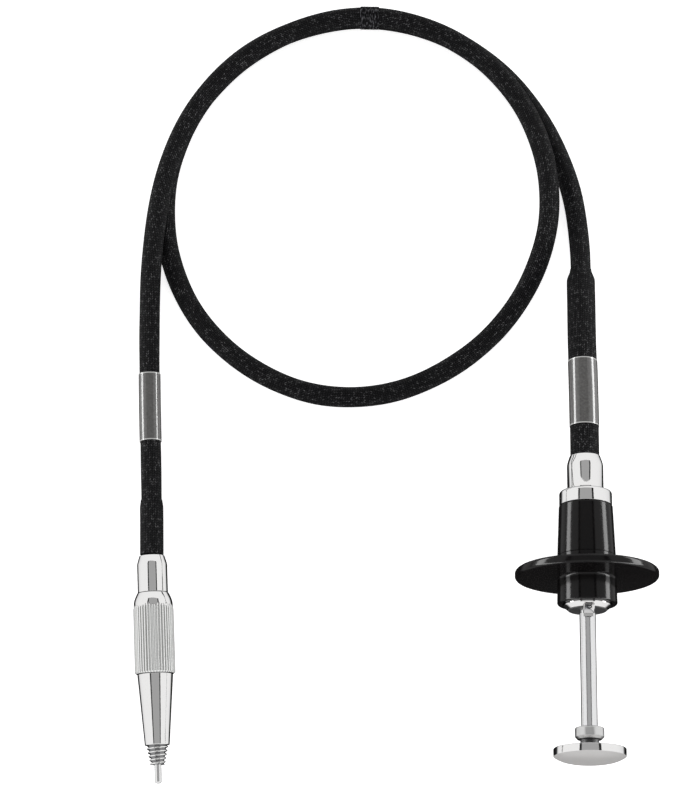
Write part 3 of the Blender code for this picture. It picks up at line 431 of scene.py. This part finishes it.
def grid_mesh(name, rows, close_rows, lengths=None):
    """A surface through rows of points, each row a closed ring. Its UV map holds the share of the way round
    and the length along."""
    shape = bmesh.new()
    uv = shape.loops.layers.uv.new("braid")
    count = len(rows[0])
    verts = [[shape.verts.new(point * MM) for point in row] for row in rows]
    lengths = lengths or [float(i) for i in range(len(rows))]
    for i in range(len(rows) if close_rows else len(rows) - 1):
        k = (i + 1) % len(rows)
        for j in range(count):
            m = (j + 1) % count
            face = shape.faces.new((verts[i][j], verts[k][j], verts[k][m], verts[i][m]))
            for loop, (a, b) in zip(face.loops, ((j, i), (j, k), (j + 1, k), (j + 1, i))):
                loop[uv].uv = (a / count, lengths[b])
    bmesh.ops.remove_doubles(shape, verts=shape.verts, dist=WELD)
    bmesh.ops.recalc_face_normals(shape, faces=shape.faces)
    mesh = bpy.data.meshes.new(name)
    shape.to_mesh(mesh)
    shape.free()
    mesh.shade_smooth()
    mesh.set_sharp_from_angle(angle=SHARP_ANGLE)
    return mesh


def put(name, mesh, material, body, nodes, place=None):
    """Adds a piece that rides on a body and stands for CAD nodes."""
    piece = bpy.data.objects.new(name, mesh)
    bpy.context.scene.collection.objects.link(piece)
    piece.matrix_world = place or Matrix.Identity(4)
    mesh.materials.append(MATERIALS[material])
    if material not in METALS:
        STRIP_LIT.objects.link(piece)
    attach(piece, body)
    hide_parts(*nodes)
    return piece


def paint_beyond(mesh, station, material):
    """Gives the faces beyond a station along the axis a material of their own."""
    mesh.materials.append(MATERIALS[material])
    for face in mesh.polygons:
        if face.center.z > station * MM:
            face.material_index = 1


def turned(name, corners, segments=SMOOTH, radius_at=None):
    """A shape turned about Z. It closes on itself if it has a bore, and on the axis if not."""
    rows = []
    outline = rounded(corners)
    for r, s in outline:
        row = []
        for j in range(segments):
            angle = math.tau * j / segments
            radius = radius_at(r, s, angle) if radius_at else r
            row.append(Vector((radius * math.cos(angle), radius * math.sin(angle), s)))
        rows.append(row)
    return grid_mesh(name, rows, min(r for r, _ in outline) > 0)


def tube(name, points, lengths, radii, bore, segments=CABLE_SIDES):
    """A round tube along points, open at the ends of its bore, or solid with flat closed ends if it has none."""
    side = Vector((0, 0, 1))
    frames = []
    for i in range(len(points)):
        along = (points[min(i + 1, len(points) - 1)] - points[max(i - 1, 0)]).normalized()
        side = (side - along * side.dot(along)).normalized()
        frames.append((side.copy(), along.cross(side)))

    def ring(i, radius):
        first, second = frames[i]
        angles = [math.tau * j / segments for j in range(segments)]
        return [points[i] + (first * math.cos(a) + second * math.sin(a)) * radius for a in angles]

    rows = [ring(i, radius) for i, radius in enumerate(radii)]
    rows.insert(0, ring(0, bore))
    rows.append(ring(len(points) - 1, bore))
    marks = [lengths[0], *lengths, lengths[-1]]
    if bore > 0:
        rows += [ring(i, bore) for i in range(len(points) - 2, 0, -1)]
        marks += lengths[-2:0:-1]
    return grid_mesh(name, rows, bore > 0, marks)


# Cable route


def smooth_route():
    """Points through ROUTE, close together, with each one's distance along the cable."""
    knots = [Vector(point) for point in ROUTE]
    spans = [(b - a).length for a, b in zip(knots, knots[1:])]
    slopes = [(b - a) / span for a, b, span in zip(knots, knots[1:], spans)]
    tangents = []
    for i in range(1, len(knots) - 1):
        mixed = slopes[i - 1] * spans[i] + slopes[i] * spans[i - 1]
        tangents.append(mixed / (spans[i - 1] + spans[i]))
    tangents.insert(0, slopes[0] * 1.5 - tangents[0] * 0.5)
    tangents.append(slopes[-1] * 1.5 - tangents[-1] * 0.5)
    points = [knots[0]]
    distances = [0.0]
    for i, span in enumerate(spans):
        steps = math.ceil(span)
        for step in range(1, steps + 1):
            t = step / steps
            point = (
                (2 * t**3 - 3 * t**2 + 1) * knots[i]
                + (t**3 - 2 * t**2 + t) * span * tangents[i]
                + (3 * t**2 - 2 * t**3) * knots[i + 1]
                + (t**3 - t**2) * span * tangents[i + 1]
            )
            distances.append(distances[-1] + (point - points[-1]).length)
            points.append(point)
    return points, distances


def point_at(route, distance):
    points, distances = route
    i = max(k for k in range(len(points) - 1) if distances[k] <= max(distance, 0.0))
    share = (distance - distances[i]) / (distances[i + 1] - distances[i])
    return points[i].lerp(points[i + 1], share)


def stretch(route, start, end, spacing):
    """Evenly spaced points on the route between two distances along it, with those distances."""
    count = max(2, round((end - start) / spacing))
    lengths = [start + (end - start) * i / count for i in range(count + 1)]
    return [point_at(route, length) for length in lengths], lengths


# Stage


def add_camera():
    data = bpy.data.cameras.new("camera")
    data.sensor_fit = "HORIZONTAL"
    data.sensor_width = SENSOR_WIDTH
    data.lens = LENS
    data.clip_start = 0.01
    data.clip_end = 20
    camera = bpy.data.objects.new("camera", data)
    back = Vector((0, -math.cos(CAMERA_ELEVATION), math.sin(CAMERA_ELEVATION)))
    camera.location = (LOOK_AT + back * CAMERA_DISTANCE) * MM
    camera.rotation_euler = (math.pi / 2 - CAMERA_ELEVATION, 0, 0)
    bpy.context.scene.collection.objects.link(camera)
    bpy.context.scene.camera = camera


def add_plane(name, centre, size, material):
    mesh = bpy.data.meshes.new(name)
    shape = bmesh.new()
    bmesh.ops.create_grid(shape, x_segments=1, y_segments=1, size=0.5)
    shape.to_mesh(mesh)
    shape.free()
    plane = bpy.data.objects.new(name, mesh)
    plane.location = Vector(centre) * MM
    plane.scale = (size[0] * MM, size[1] * MM, 1)
    mesh.materials.append(material)
    bpy.context.scene.collection.objects.link(plane)
    return plane


def add_card(name, x, width, material):
    """A card overhead that shows only in reflections."""
    card = add_plane(name, (x, LOOK_AT.y, PANEL_HEIGHT), (width, 2 * PANEL_HALF_LENGTH), material)
    card.visible_camera = False
    card.visible_diffuse = False
    card.visible_shadow = False


def add_strip_light(name, side):
    """A long low softbox beside the object, which draws the bright lines on the black plastic."""
    data = bpy.data.lights.new(name, "AREA")
    data.shape = "RECTANGLE"
    data.size = STRIP_LENGTH * MM
    data.size_y = STRIP_HEIGHT * MM
    data.energy = STRIP_WATTS
    light = bpy.data.objects.new(name, data)
    light.location = Vector((side * STRIP_DISTANCE, STRIP_MIDDLE, STRIP_LIFT)) * MM
    light.rotation_euler = (math.pi / 2, 0, side * math.pi / 2)
    light.visible_camera = False
    light.visible_diffuse = False
    light.light_linking.receiver_collection = STRIP_LIT
    bpy.context.scene.collection.objects.link(light)


def add_world():
    """White all round, and dark steeply below, where a polished piece mirrors its own shadow."""
    world = bpy.data.worlds.new("studio")
    world.use_nodes = True
    tree = world.node_tree
    direction = tree.nodes.new("ShaderNodeTexCoord")
    parts = tree.nodes.new("ShaderNodeSeparateXYZ")
    fade = tree.nodes.new("ShaderNodeMapRange")
    fade.inputs["From Min"].default_value = DARK_BELOW
    fade.inputs["From Max"].default_value = WHITE_ABOVE
    fade.inputs["To Min"].default_value = UNDERSIDE_BRIGHTNESS
    fade.inputs["To Max"].default_value = WORLD_BRIGHTNESS
    tree.links.new(direction.outputs["Generated"], parts.inputs["Vector"])
    tree.links.new(parts.outputs["Z"], fade.inputs["Value"])
    tree.links.new(fade.outputs["Result"], tree.nodes["Background"].inputs["Strength"])
    tree.nodes["Background"].inputs["Color"].default_value = (1, 1, 1, 1)
    bpy.context.scene.world = world


def add_stage():
    bpy.context.scene.view_settings.view_transform = "Standard"
    add_world()
    table = add_plane("table", (0, 0, -TABLE_LOWERED), (TABLE_SIZE, TABLE_SIZE), table_top("table_white"))
    table.visible_glossy = False
    grey = glow("panel_grey", PANEL_BRIGHTNESS)
    black = glow("panel_edge", PANEL_EDGE_BRIGHTNESS)
    add_card("overhead_panel", LOOK_AT.x, 2 * PANEL_HALF_WIDTH, grey)
    for side in (-1, 1):
        x = LOOK_AT.x + side * (PANEL_HALF_WIDTH + PANEL_EDGE_WIDTH / 2)
        add_card("panel_edge", x, PANEL_EDGE_WIDTH, black)
        add_strip_light("strip_light", side)


# Handle


def add_handle_ferrule(place):
    corners = [
        (FERRULE_BORE_R, FERRULE_BACK + MOUTH_DEPTH, 0),
        (SLEEVE_R + MOUTH_FIT, FERRULE_BACK + MOUTH_DEPTH, 0),
        (SLEEVE_R + MOUTH_FIT, FERRULE_BACK, 0),
        (SLEEVE_R + FERRULE_LIP, FERRULE_BACK, 0.06),
        (FERRULE_R, FERRULE_BACK + FERRULE_SHOULDER_LENGTH, SHOULDER_ROUNDING),
        (FERRULE_R, FERRULE_FRONT - FERRULE_FLARE_LENGTH, 0),
        (FERRULE_FLARE_R, FERRULE_FRONT - FERRULE_RIM_LENGTH, 0.1),
        (FERRULE_FLARE_R, FERRULE_FRONT, 0.05),
        (BORE_R, FERRULE_FRONT, 0),
        (BORE_R, TUBE_BACK - FIT, 0),
        (FERRULE_BORE_R, TUBE_BACK - FIT, 0),
    ]
    mesh = turned("handle_ferrule_shell", corners)
    put("handle_ferrule_shell", mesh, "chrome", ROOT, ["handle_ferrule"], place)


def add_end_ring(place):
    corners = [
        (BORE_R, END_RING_BACK, 0),
        (END_RING_R, END_RING_BACK, 0.6),
        (END_RING_R, END_RING_FRONT, 0.2),
        (BORE_R, END_RING_FRONT, 0),
    ]
    mesh = turned("barrel_ring_polished", corners)
    put("barrel_ring_polished", mesh, "chrome", ROOT, ["barrel_end_ring"], place)


def add_barrel(place):
    corners = [
        (BORE_R, BARREL_BACK, 0),
        (BARREL_BACK_R, BARREL_BACK, 0.25),
        (BARREL_FRONT_R, BARREL_FRONT, 0.07),
        (BORE_R, BARREL_FRONT, 0),
    ]
    mesh = turned("barrel_moulding", corners, FINE)
    put("barrel_moulding", mesh, "gloss_plastic", ROOT, ["barrel"], place)


def add_lock_disc(place):
    half = DISC_THICKNESS / 2
    pocket_r = TUBE_HEAD_R + POCKET_FIT
    corners = [
        (DISC_BORE_R, COLLAR_BACK, 0),
        (COLLAR_R, COLLAR_BACK, 0.07),
        (COLLAR_R, -half, ROOT_FILLET),
        (DISC_R, -half, DISC_ROUNDING),
        (DISC_R, half, DISC_ROUNDING),
        (COLLAR_R, half, ROOT_FILLET),
        (HUB_R, HUB_FRONT, 0.35),
        (pocket_r, HUB_FRONT, 0.1),
        (pocket_r, HUB_POCKET_BACK, 0),
        (BALL_CONE_FRONT_R, HUB_POCKET_BACK, 0),
        (BALL_CONE_BACK_R, BALL_CONE_BACK, 0),
        (DISC_BORE_R, BALL_CONE_RUN_OUT, 0),
        (DISC_BORE_R, RING_GROOVE_FRONT, 0),
        (RING_GROOVE_R, RING_GROOVE_FRONT, 0),
        (RING_GROOVE_R, RING_GROOVE_BACK, 0),
        (DISC_BORE_R, RING_GROOVE_BACK, 0),
    ]
    mesh = turned("finger_disc", corners, FINE)
    put("finger_disc", mesh, "gloss_plastic", "lock_disc", ["lock_disc"], place)


def add_guide_tube(place):
    corners = [
        (TUBE_BORE_R, TUBE_BACK, 0),
        (TUBE_R, TUBE_BACK, 0),
        (TUBE_R, TUBE_HEAD_BACK, 0),
        (TUBE_HEAD_R, TUBE_HEAD_BACK, 0),
        (TUBE_HEAD_R, TUBE_HEAD_EDGE, 0.25),
        (TUBE_HEAD_MOUTH_R, TUBE_HEAD_FRONT, 0.03),
        (TUBE_HEAD_MOUTH_R, TUBE_HEAD_FLOOR, 0),
        (TUBE_BORE_R, TUBE_HEAD_FLOOR, 0),
    ]
    mesh = turned("guide_tube_polished", corners, FINE)
    put("guide_tube_polished", mesh, "chrome", ROOT, ["guide_tube"], place)


def add_guide_bush(place):
    bore = ROD_R + CLOSE_FIT
    body_r = TUBE_BORE_R - CLOSE_FIT
    flange_r = TUBE_HEAD_MOUTH_R - BUSH_FLANGE_FIT
    corners = [
        (bore, BUSH_BACK, 0),
        (body_r, BUSH_BACK, 0),
        (body_r, BUSH_FLANGE_BACK, 0),
        (flange_r, BUSH_FLANGE_BACK, 0),
        (flange_r, BUSH_FRONT, 0.15),
        (bore, BUSH_FRONT, 0),
    ]
    mesh = turned("guide_bush_moulding", corners)
    put("guide_bush_moulding", mesh, "matt_plastic", ROOT, ["guide_bush"], place)


def add_rod_clip(place):
    """A bent leaf from the head of the tube down to the rod, its edges rounded over."""
    path = [Vector((0, height, s)) for height, s in CLIP_PATH]
    rows = []
    for i, point in enumerate(path):
        along = (path[min(i + 1, len(path) - 1)] - path[max(i - 1, 0)]).normalized()
        side = Vector((1, 0, 0))
        out = along.cross(side)
        row = []
        for across, lift in CLIP_SECTION:
            row.append(point + side * across * CLIP_WIDTH / 2 + out * lift * CLIP_THICKNESS / 2)
        rows.append(row)
    rows.insert(0, [path[0]] * len(CLIP_SECTION))
    rows.append([path[-1]] * len(CLIP_SECTION))
    mesh = grid_mesh("rod_clip_leaf", rows, False)
    put("rod_clip_leaf", mesh, "chrome", ROOT, ["rod_clip"], place)


def add_clip_rivet(place):
    """The rivet's head, a hollow ring on the upper slope of the leaf."""
    (high, back), (low, front) = CLIP_PATH[:2]
    slope = math.atan2(high - low, front - back)
    middle = Matrix.Translation(Vector((0, (high + low) / 2, (back + front) / 2)) * MM)
    on_leaf = place @ middle @ Matrix.Rotation(slope - math.pi / 2, 4, "X")
    corners = [
        (CLIP_RIVET_BORE_R, 0, 0),
        (CLIP_RIVET_BORE_R, CLIP_RIVET_HEIGHT, 0.05),
        (CLIP_RIVET_R, CLIP_RIVET_HEIGHT, 0.08),
        (CLIP_RIVET_R, 0, 0),
    ]
    mesh = turned("clip_rivet_head", corners, SMALL_SEGMENTS)
    put("clip_rivet_head", mesh, "blued_steel", ROOT, ["clip_rivet"], on_leaf)


def add_rod(place):
    corners = [
        (0, ROD_SOCKET_FRONT, 0),
        (ROD_SOCKET_R, ROD_SOCKET_FRONT, 0),
        (ROD_SOCKET_R, ROD_BACK, 0),
        (ROD_R, ROD_BACK, 0.15),
        (ROD_R, ROD_FRONT, 0.2),
        (0, ROD_FRONT, 0),
    ]
    mesh = turned("plunger_rod_polished", corners)
    put("plunger_rod_polished", mesh, "drawn_steel", "plunger", ["plunger_rod"], place)


def add_button_collar(place):
    bore = ROD_R + PRESS_FIT
    corners = [
        (bore, BUTTON_COLLAR_BACK, 0),
        (BUTTON_COLLAR_R, BUTTON_COLLAR_BACK, 0.35),
        (BUTTON_COLLAR_R, BUTTON_COLLAR_FRONT - BUTTON_COLLAR_BEVEL, 0.3),
        (BUTTON_COLLAR_FRONT_R, BUTTON_COLLAR_FRONT, 0.15),
        (bore, BUTTON_COLLAR_FRONT, 0),
    ]
    mesh = turned("button_collar_polished", corners)
    put("button_collar_polished", mesh, "brushed_steel", "plunger", ["button_collar"], place)


def add_button_washer(place):
    bore = ROD_R + PRESS_FIT
    back = BUTTON_COLLAR_FRONT + PRESS_FIT
    front = BUTTON_BACK - CLOSE_FIT
    corners = [
        (bore, back, 0),
        (WASHER_R, back, 0.1),
        (WASHER_R, front, 0.1),
        (bore, front, 0),
    ]
    mesh = turned("button_washer_rubber", corners)
    put("button_washer_rubber", mesh, "matt_plastic", "plunger", ["button_washer"], place)


def add_thumb_button(place):
    dome = []
    for i in range(BUTTON_FACE_STEPS):
        share = i / BUTTON_FACE_STEPS
        dome.append((BUTTON_R * share, BUTTON_EDGE + BUTTON_DOME * (1 - share**BUTTON_FLATNESS), 0))
    bore = ROD_R + PRESS_FIT
    bore_end = ROD_FRONT + CLOSE_FIT
    corners = [
        *dome,
        (BUTTON_R, BUTTON_EDGE, 0.12),
        (BUTTON_R, BUTTON_BACK, 0.15),
        (bore, BUTTON_BACK, 0),
        (bore, bore_end, 0),
        (0, bore_end, 0),
    ]
    mesh = turned("thumb_button_lapped", corners, FINE)
    put("thumb_button_lapped", mesh, "chrome", "plunger", ["thumb_button"], place)
    paint_beyond(mesh, BUTTON_EDGE + 0.01, "satin_steel")


# Tip


def add_tip_ferrule(place):
    corners = [
        (CASING_SEAT_R, TIP_FERRULE_BACK + MOUTH_DEPTH, 0),
        (TIP_SLEEVE_R + MOUTH_FIT, TIP_FERRULE_BACK + MOUTH_DEPTH, 0),
        (TIP_SLEEVE_R + MOUTH_FIT, TIP_FERRULE_BACK, 0),
        (TIP_SLEEVE_R + TIP_FERRULE_LIP, TIP_FERRULE_BACK, 0.05),
        (TIP_FERRULE_R, TIP_FERRULE_BACK + TIP_SHOULDER_LENGTH, TIP_FERRULE_ROUNDING),
        (TIP_FERRULE_R, 0, 0.1),
        (STEM_SEAT_R, 0, 0),
        (STEM_SEAT_R, STEM_SEAT_BACK, 0),
        (CASING_SEAT_R, STEM_SEAT_BACK, 0),
    ]
    mesh = turned("tip_ferrule_shell", corners)
    put("tip_ferrule_shell", mesh, "chrome", ROOT, ["tip_ferrule"], place)


def knurled_radius(r, s, angle):
    """Straight grooves, cut in the outside only and running out at both ends of the knurl."""
    if r <= SLEEVE_BACK_R or s < KNURL_BACK:
        return r
    wave = abs(math.sin(angle * KNURL_GROOVES / 2))
    return r - KNURL_DEPTH * (1 - wave) ** KNURL_SHARPNESS


def add_knurled_sleeve(place):
    corners = [
        (STEM_SEAT_R, SLEEVE_BACK, 0),
        (SLEEVE_BACK_R, SLEEVE_BACK, 0.15),
        (SLEEVE_SHOULDER_R, SLEEVE_BACK + TIP_SHOULDER_LENGTH, SHOULDER_ROUNDING),
        (SLEEVE_SHOULDER_R, KNURL_BACK, 0),
        (KNURL_R, KNURL_BACK + KNURL_RUN_OUT, 0),
        (KNURL_R, SLEEVE_FRONT - KNURL_CHAMFER_LENGTH, 0),
        (KNURL_R - KNURL_CHAMFER, SLEEVE_FRONT, 0),
        (CHAMBER_R, SLEEVE_FRONT, 0),
        (CHAMBER_R, CHAMBER_BACK, 0),
        (STEM_SEAT_R, CHAMBER_BACK, 0),
    ]
    mesh = turned("tip_sleeve_knurled", corners, KNURL_GROOVES * KNURL_FACETS, knurled_radius)
    put("tip_sleeve_knurled", mesh, "chrome", "tip_swivel", ["knurled_sleeve"], place)
    paint_beyond(mesh, KNURL_BACK, "knurled_chrome")


def add_cone_nose(place):
    corners = [
        (NOSE_BORE_R, NOSE_SPIGOT_BACK, 0),
        (NOSE_SPIGOT_R, NOSE_SPIGOT_BACK, 0.2),
        (NOSE_SPIGOT_R, NOSE_BACK, 0),
        (NOSE_BACK_R, NOSE_BACK, 0.12),
        (NOSE_FRONT_R, NOSE_FRONT, 0.18),
        (NIPPLE_SEAT_R, NOSE_FRONT, 0),
        (NIPPLE_SEAT_R, NIPPLE_SEAT_BACK, 0),
        (NOSE_BORE_R, NIPPLE_SEAT_BACK, 0),
    ]
    mesh = turned("tip_cone_polished", corners)
    put("tip_cone_polished", mesh, "chrome", "tip_swivel", ["cone_nose"], place)


def thread_radius(r, s, angle):
    """A right-handed thread, its crest flat and its flanks straight."""
    if r < THREAD_FRONT_R or s < NIPPLE_BACK:
        return r
    phase = (s / THREAD_PITCH - angle / math.tau) % 1.0
    flank = min(1.0, max(0.0, (abs(phase - 0.5) - THREAD_CREST) / THREAD_FLANK))
    fade = min(1.0, (NIPPLE_FRONT - s) / THREAD_FADE)
    return r - THREAD_DEPTH * flank * fade


def add_nipple(place):
    length = NIPPLE_FRONT - NIPPLE_BACK
    taper = []
    for i in range(THREAD_STEPS + 1):
        share = i / THREAD_STEPS
        radius = THREAD_BACK_R + (THREAD_FRONT_R - THREAD_BACK_R) * share
        taper.append((radius, NIPPLE_BACK + length * share, 0))
    corners = [
        (NIPPLE_BORE_R, NIPPLE_SPIGOT_BACK, 0),
        (NIPPLE_SPIGOT_R, NIPPLE_SPIGOT_BACK, 0),
        (NIPPLE_SPIGOT_R, NIPPLE_BACK, 0),
        *taper,
        (NIPPLE_BORE_R, NIPPLE_FRONT, 0),
    ]
    mesh = turned("tip_thread", corners, THREAD_SEGMENTS, thread_radius)
    put("tip_thread", mesh, "threaded_chrome", "tip_swivel", ["threaded_nipple"], place)


def add_pin(place):
    corners = [
        (0, PIN_FRONT, 0),
        (PIN_R, PIN_FRONT, PIN_ROUNDING),
        (PIN_R, PIN_BACK, 0),
        (0, PIN_BACK, 0),
    ]
    mesh = turned("release_pin_polished", corners, PIN_SEGMENTS)
    put("release_pin_polished", mesh, "pin_steel", "pin", ["release_pin"], place)


# Cable


def smooth_step(value):
    value = min(1.0, max(0.0, value))
    return value * value * (3 - 2 * value)


def add_cable(route):
    length = route[1][-1]
    points, lengths = stretch(route, 0, length, CABLE_SPACING)
    fast, slow = RIPPLE_RATES
    radii = [CABLE_D / 2 + RIPPLE * math.sin(at * fast) * math.sin(at * slow + 1) for at in lengths]
    mesh = tube("cable_braided", points, lengths, radii, 0)
    cable = put("cable_braided", mesh, "braid", ROOT, ["cable_main"])
    return cable, points


def add_band(name, node, route, start, end, radius, bore, material, slot, lead=0.0, tail=0.0):
    """A sleeve on the cable. lead and tail are the lengths over which its ends thin down to the cable."""
    points, lengths = stretch(route, start, end, BAND_SPACING)
    thinnest = bore + THINNEST_BAND
    radii = []
    for at in lengths:
        rise = smooth_step((at - start) / lead) if lead else 1.0
        fall = smooth_step((end - at) / tail) if tail else 1.0
        radii.append(thinnest + (radius - thinnest) * min(rise, fall))
    along = [at - start for at in lengths]
    return put(name, tube(name, points, along, radii, bore, BAND_SIDES), material, ROOT, [node])


def add_bands(route):
    length = route[1][-1]
    tip_label = [length - from_tip for from_tip in TIP_LABEL_FROM_TIP]
    return [
        add_band(
            "strain_sleeve_braided", "strain_sleeve", route, SLEEVE_START, SLEEVE_END, SLEEVE_R, ON_CABLE_R,
            "thick_braid", "black_braid", tail=SLEEVE_TAIL,
        ),
        add_band(
            "tip_sleeve_braided", "tip_end_sleeve", route, length - TIP_SLEEVE_LENGTH, length, TIP_SLEEVE_R,
            ON_CABLE_R, "tip_braid", "black_braid", lead=TIP_SLEEVE_LEAD,
        ),
        add_band(
            "handle_band", "handle_label_band", route, *HANDLE_LABEL, HANDLE_LABEL_R, SLEEVE_R + LABEL_GAP,
            "handle_label", "grey_label",
        ),
        add_band(
            "tip_band", "tip_label_band", route, *tip_label, TIP_LABEL_R, ON_CABLE_R + LABEL_GAP,
            "tip_label", "grey_label",
        ),
    ]


def add_tie(route):
    """Thread wound round both strands where they lie one above the other."""
    lower = point_at(route, TIE_ON_LOWER)
    upper = point_at(route, TIE_ON_UPPER)
    along = (point_at(route, TIE_ON_LOWER + 1) - lower).normalized()
    up = (upper - lower).normalized()
    side = up.cross(along).normalized()
    up = along.cross(side)
    steps = TIE_WRAPS * TIE_STEPS_PER_WRAP
    profile = []
    for step in range(steps + 1):
        bulge = abs(math.sin(math.pi * step / TIE_STEPS_PER_WRAP))
        profile.append((TIE_WALL + TIE_BULGE * bulge, TIE_WIDTH * (step / steps - 0.5)))
    profile.insert(0, (TIE_BACK, -TIE_WIDTH / 2))
    profile.append((TIE_BACK, TIE_WIDTH / 2))
    rows = []
    for lift, shift in profile:
        row = []
        for centre, start in ((upper, 0.0), (lower, math.pi)):
            for step in range(TIE_ARC_STEPS + 1):
                angle = start + math.pi * step / TIE_ARC_STEPS
                out = side * math.cos(angle) + up * math.sin(angle)
                row.append(centre + out * (CABLE_D / 2 + lift) + along * shift)
        rows.append(row)
    mesh = grid_mesh("tie_thread", rows, True, [shift for _, shift in profile])
    return put("tie_thread", mesh, "wound_thread", ROOT, ["loop_tie"])


# Hidden pieces keep their CAD shape


def paint_nodes():
    """Gives every CAD node that still shows the procedural material of its kind."""
    kinds = {"steel": "turned_steel", "brass": "turned_brass", "black_nylon": "matt_plastic"}
    for entry in frame["record"]["subparts"]:
        node = frame["nodes"][entry["node"]]
        kind = kinds.get(entry["material_slot"])
        if kind is None or node.hide_render:
            continue
        node.data.materials.clear()
        node.data.materials.append(MATERIALS[kind])


def axis_place(origin, direction):
    """The turned pieces' frame: +Z along the axis and +Y as near to up as it can be."""
    along = Vector(direction).normalized()
    side = Vector((0, 0, 1)).cross(along).normalized()
    up = along.cross(side)
    turn = Matrix((side, up, along)).transposed().to_4x4()
    return Matrix.Translation(origin) @ turn


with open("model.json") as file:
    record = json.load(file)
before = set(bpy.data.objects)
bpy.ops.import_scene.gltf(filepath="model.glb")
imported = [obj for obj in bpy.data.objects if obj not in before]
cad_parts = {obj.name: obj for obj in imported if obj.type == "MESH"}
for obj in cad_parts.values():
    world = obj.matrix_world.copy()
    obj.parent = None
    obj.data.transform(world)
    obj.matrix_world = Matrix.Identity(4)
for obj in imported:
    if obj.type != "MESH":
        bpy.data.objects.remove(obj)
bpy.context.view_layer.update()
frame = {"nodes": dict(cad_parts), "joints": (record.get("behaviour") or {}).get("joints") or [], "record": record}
ROOT = "handle_and_cable"
STRIP_LIT = bpy.data.collections.new("strip_lit")  # what isn't metal, which the strip lights are for
MATERIALS = {
    "chrome": chrome("chrome"),
    "knurled_chrome": knurled_chrome("knurled_chrome"),
    "threaded_chrome": threaded_chrome("threaded_chrome"),
    "drawn_steel": drawn_steel("drawn_steel"),
    "satin_steel": satin_steel("satin_steel"),
    "turned_steel": turned_metal("turned_steel", (0.6, 0.6, 0.61), 0.25),
    "pin_steel": turned_metal("pin_steel", (0.78, 0.78, 0.78), 0.08),
    "brushed_steel": turned_metal("brushed_steel", (0.66, 0.66, 0.655), 0.3),
    "turned_brass": turned_metal("turned_brass", (0.78, 0.58, 0.25), 0.28),
    "blued_steel": turned_metal("blued_steel", (0.03, 0.032, 0.036), 0.3),
    "gloss_plastic": gloss_plastic("gloss_plastic"),
    "matt_plastic": matt_plastic("matt_plastic"),
    "braid": braid("braid", CABLE_D / 2),
    "thick_braid": braid("thick_braid", SLEEVE_R),
    "tip_braid": braid("tip_braid", TIP_SLEEVE_R),
    "handle_label": label("handle_label", HANDLE_LABEL[1] - HANDLE_LABEL[0]),
    "tip_label": label("tip_label", TIP_LABEL_FROM_TIP[0] - TIP_LABEL_FROM_TIP[1]),
    "wound_thread": wound_thread("wound_thread"),
}

add_camera()
add_stage()

route = smooth_route()
cable, cable_path = add_cable(route)
bands = add_bands(route)
tie = add_tie(route)

joints = {joint["name"]: joint for joint in frame["joints"]}
towards_button = Vector(joints["lock_slide"]["axis"])
pin_low, pin_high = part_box("collar_pin")
handle_place = axis_place((pin_low + pin_high) / 2 - towards_button * COLLAR_PIN_S * MM, towards_button)
tip_place = axis_place(Vector(joints["tip_swivel"]["pos_m"]), joints["tip_swivel"]["axis"])

add_handle_ferrule(handle_place)
add_end_ring(handle_place)
add_barrel(handle_place)
add_lock_disc(handle_place)
add_guide_tube(handle_place)
add_guide_bush(handle_place)
add_rod_clip(handle_place)
add_clip_rivet(handle_place)
add_rod(handle_place)
add_button_collar(handle_place)
add_button_washer(handle_place)
add_thumb_button(handle_place)

add_tip_ferrule(tip_place)
add_knurled_sleeve(tip_place)
add_cone_nose(tip_place)
add_nipple(tip_place)
add_pin(tip_place)

paint_nodes()
